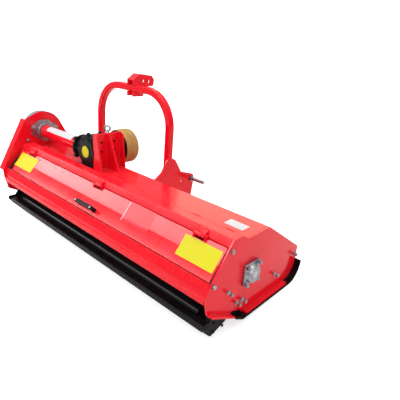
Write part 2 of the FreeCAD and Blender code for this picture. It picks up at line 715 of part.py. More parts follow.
def make_roller_bearings():
    """Round bearing housings on the arms' inner faces."""
    rings = []
    for side, name in ((1, "right"), (-1, "left")):
        start = (side * (inner_half - size.arm_wall), -size.roller_back, size.roller_height)
        inward = (-side, 0, 0)
        ring = rod("roller_bearing_" + name, start, inward, size.roller_bearing_depth,
                   size.roller_bearing_radius)
        bore = rod("roller_bearing_bore_" + name, start, inward, size.roller_bearing_depth,
                   size.stub_radius + size.running_gap)
        rings.append(cut("roller_bearing_ring_" + name, ring, bore))
    keep(group("roller_bearings", rings), "roller_bearings")


def make_scraper():
    """An angle bar behind the roller, between the arms."""
    body = new_body("scraper_bar")
    sketch = new_sketch(body, "YZ_Plane")
    draw_sheet(sketch, [(-size.scraper_front, size.scraper_height), (-size.scraper_back, size.scraper_height),
                        (-size.scraper_back + 3, size.scraper_foot)], size.scraper_wall)
    across_pad(body, sketch, 2 * (inner_half - size.arm_wall))
    round_edges(body, [(-size.scraper_back, size.scraper_height)], size.scraper_wall)
    keep(body, "scraper_bar")


# Rotor

def hammer_place(number):
    """The hammers sit in three rows, in turn: this one's place across and its pin's angle on the rotor."""
    count = int(size.hammer_count.number)
    pitch = 2 * (inner_half - size.hammer_end_room).number / (count - 1)
    across = (number - (count - 1) / 2) * pitch
    return across, 120 * (number % 3) - 90


def rotor_point(across, angle, radius):
    turned = math.radians(angle)
    return Vector(across, size.rotor_front.number + radius * math.cos(turned),
                  size.rotor_height.number + radius * math.sin(turned))


def make_rotor():
    """The rotor tube with its stub shafts and a pair of lugs for each hammer."""
    tube = rod("rotor_tube", (-rotor_half, size.rotor_front, size.rotor_height), (1, 0, 0),
               2 * rotor_half, size.rotor_radius)
    left_end = half_width + size.cover_reach - size.pulley_end_room
    right_end = half_width + size.flange_depth
    shaft = rod("rotor_shaft", (-left_end, size.rotor_front, size.rotor_height), (1, 0, 0),
                left_end + right_end, size.stub_radius)
    solids = [tube, shaft]
    bores = []
    for number in range(int(size.hammer_count.number)):
        across, angle = hammer_place(number)
        turned = math.radians(angle)
        outward = Vector(0, math.cos(turned), math.sin(turned))
        inner = size.hammer_neck.number / 2 + size.lug_side_gap.number
        for side in (1, -1):
            start = across + (inner if side > 0 else -inner - size.lug_wall.number)
            label = "lug_%d_%s" % (number + 1, "right" if side > 0 else "left")
            block = solid_of("Part::Box", label + "_block", Length=size.lug_wall, Width=2 * size.lug_radius,
                             Height=size.hammer_pin_orbit - size.rotor_radius + size.lug_root)
            base = rotor_point(start, angle, (size.rotor_radius - size.lug_root).number)
            sideways = Vector(0, outward.z, -outward.y)
            block.Placement = Placement(base - sideways * size.lug_radius.number,
                                        Rotation(Vector(1, 0, 0), sideways, outward, "ZXY"))
            ear = rod(label + "_ear", rotor_point(start, angle, size.hammer_pin_orbit.number), (1, 0, 0),
                      size.lug_wall, size.lug_radius)
            solids += [block, ear]
        length = 2 * (inner + size.lug_wall.number)
        start = rotor_point(across - length / 2, angle, size.hammer_pin_orbit.number)
        bores.append(rod("lug_bore_%d" % (number + 1), start, (1, 0, 0), length,
                         size.hammer_pin_radius + size.running_gap))
    rotor = cut("rotor", joined("rotor_body", solids), joined("lug_bores", bores))
    keep(rotor, "rotor")


def make_hammer_pins():
    pins = []
    for number in range(int(size.hammer_count.number)):
        across, angle = hammer_place(number)
        length = size.hammer_neck + 2 * (size.lug_side_gap + size.lug_wall)
        start = rotor_point(across - length.number / 2 - size.seat_gap.number, angle,
                            size.hammer_pin_orbit.number)
        shank = rod("hammer_pin_%d_shank" % (number + 1), start, (1, 0, 0),
                    length + size.hammer_pin_stand, size.hammer_pin_radius)
        head = hexagon("hammer_pin_%d_head" % (number + 1), start, (-1, 0, 0),
                       size.hammer_pin_head_height, size.hammer_pin_head)
        pins.append(joined("hammer_pin_%d" % (number + 1), [shank, head]))
    keep(group("hammer_pins", pins), "hammer_pins")


def make_hammer(number):
    """A forged hammer: a boss on its pin, a neck and a wide blade with a ground edge."""
    across, angle = hammer_place(number)
    label = "hammer_%02d" % (number + 1)
    body = new_body(label)
    sketch = new_sketch(body, "XZ_Plane")
    neck = size.hammer_neck / 2
    half = size.hammer_width / 2
    reach = size.hammer_reach
    draw_loop(sketch, [(-neck, 0), (neck, 0), (neck, reach * 0.45), (half - 6, reach * 0.62), (half, reach - 8),
                       (half - 10, reach), (-half + 10, reach), (-half, reach - 8), (-half + 6, reach * 0.62),
                       (-neck, reach * 0.45)])
    pad(body, sketch, size.hammer_thickness, Midplane=True)
    boss = new_sketch(body, "YZ_Plane")
    draw_circle(boss, 0, 0, size.hammer_boss)
    pad(body, boss, size.hammer_neck, Midplane=True)
    bore = new_sketch(body, "YZ_Plane")
    draw_circle(bore, 0, 0, size.hammer_pin_radius + 2 * size.running_gap)
    pocket(body, bore)
    edge = size.hammer_thickness / 2
    ground = new_sketch(body, "YZ_Plane")
    draw_loop(ground, [(edge * 0.2, reach + 1), (edge + 1, reach + 1), (edge + 1, reach - size.hammer_edge)])
    pocket(body, ground)
    pin = rotor_point(across, angle, size.hammer_pin_orbit.number)
    keep(body, label, Placement(pin, hanging() * Rotation(Vector(1, 0, 0), 180)))


def bearing_bolt_places():
    """The four bolts of a square bearing flange about the rotor's axis."""
    half = size.flange_bolt_spacing / 2
    return [(size.rotor_front + across * half, size.rotor_height + up * half)
            for across, up in ((1, 1), (-1, 1), (-1, -1), (1, -1))]


def make_rotor_bearing(label, face):
    """A square flange bearing with a domed housing, its back at the given face of the end plate."""
    body = new_body(label)
    plate = new_sketch(body, "YZ_Plane")
    half = size.flange_side / 2
    draw_loop(plate, [(-half, -half), (half, -half), (half, half), (-half, half)])
    pad(body, plate, size.flange_wall)
    round_edges(body, [(half, half), (half, -half), (-half, half), (-half, -half)], size.flange_corner)
    dome = new_sketch(body, "XZ_Plane")
    draw_loop(dome, [(0, 0), (size.flange_depth, 0), (size.flange_depth, size.flange_boss - 6),
                     (size.flange_depth - 6, size.flange_boss), (size.flange_wall, size.flange_boss + 5),
                     (0, size.flange_boss + 5)])
    turn(body, dome, "X_Axis")
    holes = new_sketch(body, "YZ_Plane")
    draw_circle(holes, 0, 0, size.stub_radius + size.running_gap)
    spacing = size.flange_bolt_spacing / 2
    for across, up in ((1, 1), (-1, 1), (-1, -1), (1, -1)):
        draw_circle(holes, across * spacing, up * spacing, size.flange_hole)
    pocket(body, holes)
    keep(body, label, Placement(spot(face, size.rotor_front, size.rotor_height), Rotation()))


# Drive line

def make_gearbox():
    """The bevel gearbox casting: a block on the deck, the rear boss and the long output neck."""
    body = new_body("gearbox_housing")
    right = -(size.bracket_across + size.gearbox_wall_gap)
    left = -(size.input_across + size.gearbox_left)
    block = new_sketch(body, "XZ_Plane", -size.gearbox_front)
    draw_loop(block, [(left, gearbox_foot), (right, gearbox_foot), (right, gearbox_top),
                      (left, gearbox_top)])
    pad(body, block, size.gearbox_front + size.gearbox_back)
    round_edges(body, [(left, gearbox_foot), (left, gearbox_top), (right, gearbox_top)],
                size.gearbox_round, axis="y")
    neck = new_sketch(body, "YZ_Plane", -size.input_across)
    draw_circle(neck, size.drive_front, drive_height, size.neck_radius)
    pad(body, neck, size.output_flange_across - size.input_across, Reversed=True)
    flange = new_sketch(body, "YZ_Plane", -size.output_flange_across)
    draw_circle(flange, size.drive_front, drive_height, size.output_flange_radius)
    pad(body, flange, size.output_flange_wall)
    inner = size.neck_radius - size.gearbox_rib
    outer = size.output_flange_radius - size.gearbox_rib
    seam = -(size.output_flange_across - size.output_flange_wall)
    for plane, offset, middle in (("XZ_Plane", -size.drive_front, drive_height),
                                  ("XY_Plane", drive_height, size.drive_front)):
        for way in (1, -1):
            rib = new_sketch(body, plane, offset)
            draw_loop(rib, [(seam - 1, middle + way * inner), (seam - 1, middle + way * outer),
                            (seam, middle + way * outer),
                            (seam + size.gearbox_rib_length, middle + way * size.neck_radius),
                            (seam + size.gearbox_rib_length, middle + way * inner)])
            pad(body, rib, size.gearbox_rib, Midplane=True)
    bore = new_sketch(body, "YZ_Plane", -size.output_flange_across)
    draw_circle(bore, size.drive_front, drive_height, size.cross_shaft_radius + size.running_gap)
    feature = pocket(body, bore)
    feature.Midplane = False
    feature.Type = 0
    feature.Reversed = True
    bind(feature, "Length", size.gearbox_bore)
    keep(body, "gearbox_housing")


def make_gearbox_cap():
    """The round rear cover with its raised rim and recessed disc."""
    body = new_body("gearbox_rear_cap")
    sketch = new_sketch(body, "XY_Plane")
    radius = size.cap_radius
    depth = size.cap_depth
    draw_loop(sketch, [(0, 0), (radius, 0), (radius, depth * 0.55), (radius - 8, depth * 0.75),
                       (size.cap_disc + 14, depth * 0.75), (size.cap_disc + 10, depth),
                       (size.cap_disc + 2, depth),
                       (size.cap_disc, depth - 1.5), (0, depth - 1.5)])
    turn(body, sketch, "Y_Axis")
    place = Placement(spot(-size.input_across, -size.gearbox_back, drive_height),
                      Rotation(Vector(0, 0, 1), 180))
    keep(body, "gearbox_rear_cap", place)


def make_gearbox_fittings():
    """Filler and level plugs on the casting's top, and the screws of the rear cap and output flange."""
    plugs = []
    for number, front in enumerate((-size.plug_rear_back, size.plug_front), start=1):
        start = (-size.input_across, front, gearbox_top + size.seat_gap)
        base = rod("plug_base_%d" % number, start, (0, 0, 1), size.plug_height * 0.5, size.plug_radius + 3)
        head = hexagon("plug_head_%d" % number, start, (0, 0, 1), size.plug_height, size.plug_radius)
        plugs.append(joined("plug_%d" % number, [base, head]))
    screws = []
    orbit = size.cap_radius - size.cap_screw_inset
    for number in range(8):
        angle = math.radians(45 * number + 22.5)
        start = (-size.input_across + orbit * math.cos(angle), -(size.gearbox_back + size.cap_depth * 0.75),
                 drive_height + orbit * math.sin(angle))
        screws.append(hexagon("cap_screw_%d" % (number + 1), start, (0, -1, 0), size.cap_screw_height,
                              size.cap_screw_radius))
    face = -(size.output_flange_across - size.output_flange_wall - size.seat_gap)
    for number in range(8):
        angle = math.radians(45 * number + 22.5)
        start = (face, size.drive_front + size.output_bolt_orbit * math.cos(angle),
                 drive_height + size.output_bolt_orbit * math.sin(angle))
        screws.append(hexagon("output_bolt_%d" % (number + 1), start, (1, 0, 0), size.output_bolt_height,
                              size.cap_screw_radius))
    keep(group("gearbox_screws", plugs + screws), "gearbox_screws")


def make_lifting_eye():
    """A lifting ring of eight-sided section on a short shank, screwed into the casting's top."""
    ring = new_body("eye_ring")
    section = new_sketch(ring, "XZ_Plane")
    corners = []
    for number in range(8):
        angle = math.radians(45 * number + 22.5)
        corners.append((size.eye_wire * math.cos(angle),
                        size.eye_radius - size.eye_wire + size.eye_wire * math.sin(angle)))
    draw_loop(section, corners)
    turn(ring, section, "X_Axis")
    ring.Placement = Placement(spot(-size.input_across, size.eye_front, eye_height), Rotation())
    shank = rod("eye_shank", (-size.input_across, size.eye_front, gearbox_top), (0, 0, 1),
                eye_height - gearbox_top - size.eye_radius + size.eye_wire, size.eye_wire + 1)
    foot = rod("eye_foot", (-size.input_across, size.eye_front, gearbox_top), (0, 0, 1),
               size.eye_wire * 0.8, size.eye_foot)
    keep(joined("lifting_eye", [ring, shank, foot]), "lifting_eye")


def turned_piece(label, section, start, along_y=False):
    """A piece turned about its own axis; the section gives (along, radius) corners."""
    body = new_body(label)
    if along_y:
        sketch = new_sketch(body, "XY_Plane")
        draw_loop(sketch, [(radius, along) for along, radius in section])
        turn(body, sketch, "Y_Axis")
    else:
        sketch = new_sketch(body, "XZ_Plane")
        draw_loop(sketch, section)
        turn(body, sketch, "X_Axis")
    keep(body, label, Placement(spot(*start), Rotation()))


def make_input_guard():
    """The input shaft, the dished guard behind it and the guard sleeve round it."""
    axis = (-size.input_across, 0, drive_height)
    start = size.gearbox_front + size.seat_gap
    wall = size.drum_wall
    shaft_gap = size.input_shaft_radius + 3
    turned_piece("guard_cone", [(start, shaft_gap), (start, size.cone_start_radius),
                                (size.cone_end - 12, size.cone_start_radius + 8),
                                (size.cone_end - 9, size.cone_end_radius - 3),
                                (size.cone_end - 6, size.cone_end_radius),
                                (size.cone_end, size.cone_end_radius),
                                (size.cone_end, size.cone_end_radius - wall * 2),
                                (size.cone_end - 5, size.cone_start_radius),
                                (start + 6, size.cone_start_radius - 8), (start + 6, shaft_gap)],
                 axis, along_y=True)
    drum = size.drum_radius
    begin = size.cone_end + size.seat_gap
    turned_piece("guard_sleeve", [(begin, drum - 2 * wall), (begin, drum - 2), (begin + 4, drum),
                                  (size.drum_seam - 1.5, drum), (size.drum_seam, drum - 1.5),
                                  (size.drum_seam + 1.5, drum), (size.drum_end - 4, drum),
                                  (size.drum_end, drum - 3), (size.drum_end, drum - wall - 2),
                                  (size.drum_end - 4, drum - wall), (begin + wall, drum - wall),
                                  (begin + wall, drum - 2 * wall)], axis, along_y=True)
    radius = size.input_shaft_radius
    shoulder = start + size.input_shaft_shoulder
    turned_piece("input_shaft", [(start, 0), (start, radius + 1.5), (shoulder, radius + 1.5),
                                 (shoulder, radius), (size.input_shaft_end - 3, radius),
                                 (size.input_shaft_end, radius - 3), (size.input_shaft_end, 0)],
                 axis, along_y=True)


def make_cross_shaft():
    """The shaft from the gearbox to the upper pulley, in a guard tube with an end ring."""
    axis = (0, size.drive_front, drive_height)
    left_end = half_width + size.cover_reach - size.pulley_end_room
    length = left_end - size.output_flange_across + size.gearbox_bore * 0.8
    shaft = rod("cross_shaft", (-left_end, size.drive_front, drive_height), (1, 0, 0), length,
                size.cross_shaft_radius)
    keep(shaft, "cross_shaft", shaft.Placement)
    outer = size.guard_tube_radius
    bore = outer - size.guard_tube_wall
    flange_left = -(size.output_flange_across + size.seat_gap)
    turned_piece("shaft_guard_tube", [(-guard_tube_start, bore), (-guard_tube_start, outer),
                                      (flange_left - size.guard_ring_wall, outer),
                                      (flange_left - size.guard_ring_wall, size.guard_ring),
                                      (flange_left, size.guard_ring), (flange_left, bore)], axis)


def make_upper_bearing():
    """The many-sided flange bearing inside the belt side plate, with a raised ring round the guard tube."""
    body = new_body("upper_bearing")
    face = -(inner_half - size.seat_gap)
    front_face = -(guard_tube_start + size.seat_gap)
    sketch = new_sketch(body, "YZ_Plane", face)
    draw_loop(sketch, [(size.drive_front + front, drive_height + up) for front, up in BEARING_OUTLINE])
    pad(body, sketch, front_face - face)
    ring = new_sketch(body, "YZ_Plane", front_face)
    draw_circle(ring, size.drive_front, drive_height, size.upper_bearing_boss)
    draw_circle(ring, size.drive_front, drive_height, size.guard_tube_radius + size.seat_gap)
    pad(body, ring, size.upper_bearing_depth)
    bore = new_sketch(body, "YZ_Plane", face)
    draw_circle(bore, size.drive_front, drive_height, size.cross_shaft_radius + size.running_gap)
    pocket(body, bore)
    keep(body, "upper_bearing")


def pulley_section(radius):
    """Half section of a grooved pulley, from its inner face outwards."""
    width = size.belt_pitch * int(size.belt_count.number) + 2 * size.pulley_rim
    corners = [(0, size.cross_shaft_radius), (0, radius)]
    for number in range(int(size.belt_count.number)):
        middle = size.pulley_rim + size.belt_pitch * (number + 0.5)
        half = size.belt_width / 2 + size.seat_gap
        corners += [(middle - half, radius), (middle - half + 1.2, radius - size.belt_height),
                    (middle + half - 1.2, radius - size.belt_height), (middle + half, radius)]
    corners += [(width, radius), (width, size.cross_shaft_radius)]
    return [(-along, reach) for along, reach in corners]


def make_pulleys():
    start = -(half_width + size.pulley_offset)
    for label, radius, front, height in (
            ("upper_pulley", size.upper_pulley_radius, size.drive_front, drive_height),
            ("lower_pulley", size.lower_pulley_radius, size.rotor_front, size.rotor_height)):
        turned_piece(label, pulley_section(radius), (start, front, height))


def make_belts():
    """The drive belts as closed loops round both pulleys."""
    upper = Vector(0, size.drive_front.number, drive_height.number)
    lower = Vector(0, size.rotor_front.number, size.rotor_height.number)
    gap = size.seat_gap.number
    inside = size.belt_height.number - gap
    loops = []
    for number in range(int(size.belt_count.number)):
        middle = half_width + size.pulley_offset + size.pulley_rim + size.belt_pitch * (number + 0.5)
        left = -(middle + size.belt_width / 2 - 1.2)
        faces = []
        for grow in (2.0, -inside):
            faces.append(open_belt(upper, size.upper_pulley_radius.number + grow,
                                   lower, size.lower_pulley_radius.number + grow))
        ring = faces[0].cut(faces[1])
        ring.translate(Vector(left.number, 0, 0))
        loops.append(ring.extrude(Vector(size.belt_width.number - 2.4, 0, 0)))
    belts = document.addObject("Part::Feature", "drive_belts")
    belts.Shape = Part.makeCompound(loops)
    keep(belts, "drive_belts")


def open_belt(upper, upper_radius, lower, lower_radius):
    """A filled outline of two arcs joined by their outer tangents, in the YZ plane."""
    between = lower - upper
    tilt = math.asin((upper_radius - lower_radius) / between.Length)
    along = Vector(between).normalize()
    side = Vector(0, -along.z, along.y)
    normal_one = side * math.cos(tilt) + along * math.sin(tilt)
    normal_two = side * -math.cos(tilt) + along * math.sin(tilt)
    corners = [upper + normal_one * upper_radius, lower + normal_one * lower_radius,
               lower + normal_two * lower_radius, upper + normal_two * upper_radius]
    edges = [Part.LineSegment(corners[0], corners[1]).toShape(),
             Part.Arc(corners[1], lower + along * lower_radius, corners[2]).toShape(),
             Part.LineSegment(corners[2], corners[3]).toShape(),
             Part.Arc(corners[3], upper - along * upper_radius, corners[0]).toShape()]
    return Part.Face(Part.Wire(edges))


def make_belt_cover():
    """The outer cover over both pulleys, open towards the end plate."""
    upper = Vector(0, size.drive_front.number, drive_height.number)
    lower = Vector(0, size.rotor_front.number, size.rotor_height.number)
    wall = size.cover_wall.number
    reach = size.cover_reach.number
    start = -(half_width.number + size.seat_gap.number)
    outer = open_belt(upper, size.cover_top_radius.number, lower, size.cover_foot_radius.number)
    inner = open_belt(upper, size.cover_top_radius.number - wall, lower, size.cover_foot_radius.number - wall)
    outer.translate(Vector(start, 0, 0))
    inner.translate(Vector(start, 0, 0))
    shell = outer.extrude(Vector(-reach, 0, 0))
    far = [edge for edge in shell.Edges if abs(edge.BoundBox.XMax - (start - reach)) < 0.01
           and edge.BoundBox.XLength < 0.01]
    shell = shell.makeChamfer(size.cover_round.number, far)
    room = inner.extrude(Vector(-(reach - wall), 0, 0))
    far = [edge for edge in room.Edges if abs(edge.BoundBox.XMax - (start - reach + wall)) < 0.01
           and edge.BoundBox.XLength < 0.01]
    room = room.makeChamfer(size.cover_round.number - wall, far)
    cover = document.addObject("Part::Feature", "belt_cover")
    cover.Shape = shell.cut(room)
    keep(cover, "belt_cover")


def make_cover_knob():
    """The hand knob that holds the belt cover, at the rim's top end."""
    radius = size.knob_radius
    height = size.knob_height
    start = (-(half_width + size.cover_reach + size.seat_gap * 2), size.drive_front,
             drive_height + size.cover_top_radius * 0.62)
    turned_piece("cover_knob", [(0, 0), (0, radius * 0.55), (-height * 0.35, radius * 0.6),
                                (-height * 0.5, radius), (-height * 0.85, radius), (-height, radius * 0.8),
                                (-height, 0)], start)


def beam_height(back):
    """The height of the crossbeam's front slope, this far behind the rotor side of zero."""
    slope = (size.deck_top - panel_top) / (size.beam_front - size.step_foot)
    return panel_top + (back - size.step_foot) * slope


def make_gearbox_bracket():
    """An upright plate beside the gearbox, stiffened by three gussets on the deck."""
    body = new_body("gearbox_bracket")
    left = -size.bracket_across
    foot = panel_top + size.seat_gap
    plate = new_sketch(body, "YZ_Plane", left)
    draw_loop(plate, [(-size.bracket_back, beam_height(size.bracket_back) + 1),
                      (-size.step_foot, foot + 0.5), (size.bracket_foot_front, foot),
                      (size.bracket_front, bracket_top), (-size.bracket_back, bracket_top)])
    pad(body, plate, size.bracket_wall)
    for front, reach in GUSSETS:
        rib = new_sketch(body, "XZ_Plane", -front)
        right = left + reach
        top = bracket_top - (0 if front < 0 else 6)
        base = beam_height(size.bracket_back) + 1 if front < 0 else foot
        draw_loop(rib, [(left, base), (right, base), (left + size.gusset_top, top - size.gusset_head),
                        (left + size.gusset_top - size.gusset_head, top), (left, top)])
        pad(body, rib, size.gusset_wall, Reversed=True)
    keep(body, "gearbox_bracket")


# Hitch

frame_centre = -size.input_across


def make_hitch_frame():
    """The square tube bow of the three-point hitch, with feet cut to the deck's slope."""
    body = new_body("hitch_frame")
    half = size.frame_half_width - size.frame_tube / 2
    top = size.frame_top - size.frame_tube / 2
    bend = size.frame_bend
    foot = size.nose_height + size.seat_gap
    back = -(size.frame_back + size.frame_tube / 2)
    path = new_sketch(body, "XZ_Plane", back)
    corners = [(frame_centre - half, foot), (frame_centre - half, top - bend),
               (frame_centre - half + bend, top), (frame_centre + half - bend, top),
               (frame_centre + half, top - bend), (frame_centre + half, foot)]
    flat = [Vector(across.number, up.number, 0) for across, up in corners]
    bow = math.sqrt(0.5) * bend.number
    left_centre = Vector(flat[2].x, flat[1].y, 0)
    right_centre = Vector(flat[3].x, flat[4].y, 0)
    path.addGeometry(Part.LineSegment(flat[0], flat[1]), False)
    path.addGeometry(Part.Arc(flat[1], left_centre + Vector(-bow, bow, 0), flat[2]), False)
    path.addGeometry(Part.LineSegment(flat[2], flat[3]), False)
    path.addGeometry(Part.Arc(flat[3], right_centre + Vector(bow, bow, 0), flat[4]), False)
    path.addGeometry(Part.LineSegment(flat[4], flat[5]), False)
    hold(path, "DistanceX", corners[0][0], -1, 1, 0, 1)
    hold(path, "DistanceY", corners[0][1], -1, 1, 0, 1)
    hold(path, "DistanceX", corners[5][0], -1, 1, 4, 2)
    hold(path, "DistanceY", corners[5][1], -1, 1, 4, 2)
    path.addConstraint(Sketcher.Constraint("Vertical", 0))
    path.addConstraint(Sketcher.Constraint("Horizontal", 2))
    path.addConstraint(Sketcher.Constraint("Vertical", 4))
    hold(path, "DistanceY", corners[2][1], -1, 1, 2, 1)
    arc_ends = {0: (1, 2), 1: (1, 1), 2: (3, 2), 3: (3, 1)}
    joints = ((0, 2, arc_ends[0]), (2, 1, arc_ends[1]), (2, 2, arc_ends[2]), (4, 1, arc_ends[3]))
    for line, end, (arc, arc_end) in joints:
        path.addConstraint(Sketcher.Constraint("Tangent", line, end, arc, arc_end))
    hold(path, "Radius", bend, 1)
    hold(path, "Radius", bend, 3)
    section = new_sketch(body, "XY_Plane", foot)
    middle = frame_centre - half
    for wide, edge in ((size.frame_tube, size.frame_edge),
                       (size.frame_tube - 2 * size.frame_wall, size.frame_edge / 2)):
        reach = wide / 2
        short = reach - edge
        draw_loop(section, [(middle + across, -back + front) for across, front in (
            (-short, -reach), (short, -reach), (reach, -short), (reach, short),
            (short, reach), (-short, reach), (-reach, short), (-reach, -short))])
    tube = body.newObject("PartDesign::AdditivePipe", "hitch_frame_tube")
    tube.Profile = section
    tube.Spine = (path, [])
    tube.Mode = "Frenet"
    slope = new_sketch(body, "YZ_Plane")
    rise = size.seat_gap * 2
    draw_loop(slope, [(size.slope_start, panel_top + rise), (size.nose_front, size.nose_height + rise),
                      (size.nose_front, 0), (size.slope_start, 0)])
    pocket(body, slope)
    keep(body, "hitch_frame")


def hood_height(front):
    """The height of the hood's outer face on its slope."""
    slope = (panel_top - size.nose_height) / (size.nose_front - size.slope_start)
    return panel_top - (as_size(front) - size.slope_start) * slope


def make_hitch_plate(label, side):
    """The lower link plate outside the frame's foot, standing on the hood's slope."""
    body = new_body(label)
    face = frame_centre + side * (size.frame_half_width + size.seat_gap)
    front = size.nose_front - size.hitch_front_inset
    rise = 2 * size.seat_gap
    corners = [(size.hitch_rear, hood_height(size.hitch_rear) + rise)] + list(HITCH_OUTLINE)
    corners += [(front, hood_height(front) + rise)]
    sketch = new_sketch(body, "YZ_Plane", face)
    draw_loop(sketch, corners)
    pad(body, sketch, size.hitch_wall, Reversed=side < 0)
    holes = new_sketch(body, "YZ_Plane", face)
    draw_circle(holes, size.pin_front, size.pin_height, size.pin_radius + size.seat_gap)
    draw_circle(holes, size.spare_hole_front, size.spare_hole_height, size.spare_hole_radius)
    pocket(body, holes)
    for number, radius in HITCH_ROUNDS.items():
        round_edges(body, [HITCH_OUTLINE[number]], radius)
    keep(body, label)


def make_link_pins():
    """The lower link pins, each with a collar against its plate and a nut behind it."""
    pins = []
    for side, name in ((1, "right"), (-1, "left")):
        out = (side, 0, 0)
        back = (-side, 0, 0)
        face = frame_centre + side * (size.frame_half_width + size.seat_gap * 2 + size.hitch_wall)
        seat = (face, size.pin_front, size.pin_height)
        hidden = face - side * (size.hitch_wall + 3 * size.seat_gap)
        inner = (hidden, size.pin_front, size.pin_height)
        shaft = rod("link_pin_shaft_" + name, seat, out, size.pin_length, size.pin_radius)
        tail = rod("link_pin_tail_" + name, seat, back, size.hitch_wall + size.pin_tail, size.pin_radius)
        collar = rod("link_pin_collar_" + name, seat, out, size.pin_collar_wall, size.pin_collar)
        nut = hexagon("link_pin_nut_" + name, inner, back, size.pin_nut_height, size.pin_nut)
        body = joined("link_pin_body_" + name, [shaft, tail, collar, nut])
        hole_place = (face + side * (size.pin_length - size.pin_hole_inset), size.pin_front,
                      size.pin_height - 2 * size.pin_radius)
        hole = rod("link_pin_hole_" + name, hole_place, (0, 0, 1), 4 * size.pin_radius, size.pin_hole)
        pins.append(cut("link_pin_" + name, body, hole))
    keep(group("link_pins", pins), "link_pins")


def make_top_link_bracket():
    """Two hooked cheeks on the frame's crown, joined by a sloped bridge, with the top link's slot."""
    body = new_body("top_link_bracket")
    gap = size.seat_gap
    back = size.cheek_back
    front = size.frame_back + size.frame_tube + gap
    top = size.frame_top + gap
    under = size.frame_top - size.frame_tube - gap
    heel = (back, top + size.cheek_heel)
    shoulder = (back + size.cheek_shoulder, top + size.cheek_top)
    crown = (back + size.cheek_crown_front, top + size.cheek_crown)
    for near in (size.cheek_half_span - size.cheek_wall, -size.cheek_half_span):
        cheek = new_sketch(body, "YZ_Plane", frame_centre + near)
        draw_loop(cheek, [(back, top), heel, shoulder, crown,
                          (back + size.cheek_nose_front, top + size.cheek_nose),
                          (back + size.cheek_chin_front, top - size.cheek_chin),
                          (front + size.cheek_throat_front, top - size.cheek_throat),
                          (front + size.cheek_hook_front, under - size.cheek_hook),
                          (back, under - size.cheek_hook), (back, under), (front, under), (front, top)])
        pad(body, cheek, size.cheek_wall)
    bridge = new_sketch(body, "YZ_Plane", frame_centre - size.cheek_half_span)
    lap = (back + size.cheek_shoulder + size.bridge_lap, top + size.cheek_top - 1)
    draw_sheet(bridge, [lap, shoulder, heel], size.cheek_wall * 0.8)
    pad(body, bridge, 2 * size.cheek_half_span)
    slot = new_sketch(body, "YZ_Plane", frame_centre)
    reach = size.slot_length / 2
    low = size.frame_top + size.slot_rise - size.slot_height / 2
    high = low + size.slot_height
    ends = (size.slot_front - reach, size.slot_front + reach)
    draw_loop(slot, [(ends[0], low), (ends[1], low), (ends[1], high), (ends[0], high)])
    pocket(body, slot)
    for end in ends:
        round_edges(body, [(end, low), (end, high)], size.slot_height / 2 - 1)
    keep(body, "top_link_bracket")


# Front guard

def make_flap_rod():
    """The rod that the front flaps hang on, through both end plates, with a split pin at each end."""
    end = half_width + size.rod_stand
    bar = rod("flap_rod_bar", (-end, size.rod_front, size.rod_height), (1, 0, 0), 2 * end, size.rod_radius)
    pins = []
    for side, name in ((1, "right"), (-1, "left")):
        reach = size.rod_radius + size.split_pin_stand
        place = (side * (end - size.split_pin_inset), size.rod_front, size.rod_height - reach)
        pins.append(rod("split_pin_" + name, place, (0, 0, 1), 2 * reach, size.split_pin_radius))
    keep(joined("flap_rod", [bar] + pins), "flap_rod")


def make_flap(number):
    """A hanging flap with a rolled eye at its top."""
    label = "front_flap_%d" % (number + 1)
    count = int(size.flap_count.number)
    half_room = half_width - size.skid_inset - size.flap_gap / 2
    width = 2 * half_room / count - size.flap_gap
    start = -half_room + number * (2 * half_room / count) + size.flap_gap / 2
    body = new_body(label)
    eye = new_sketch(body, "YZ_Plane", start)
    draw_circle(eye, 0, 0, size.flap_eye)
    pad(body, eye, width)
    sheet = new_sketch(body, "YZ_Plane", start)
    edge = size.flap_eye
    draw_loop(sheet, [(edge - size.flap_wall, 0), (edge, 0), (edge, -size.flap_length),
                      (edge - size.flap_wall, -size.flap_length)])
    pad(body, sheet, width)
    bore = new_sketch(body, "YZ_Plane", start)
    draw_circle(bore, 0, 0, size.rod_radius + size.flap_bore_gap)
    pocket(body, bore)
    keep(body, label, Placement(spot(0, size.rod_front, size.rod_height), hanging()))


# Fasteners

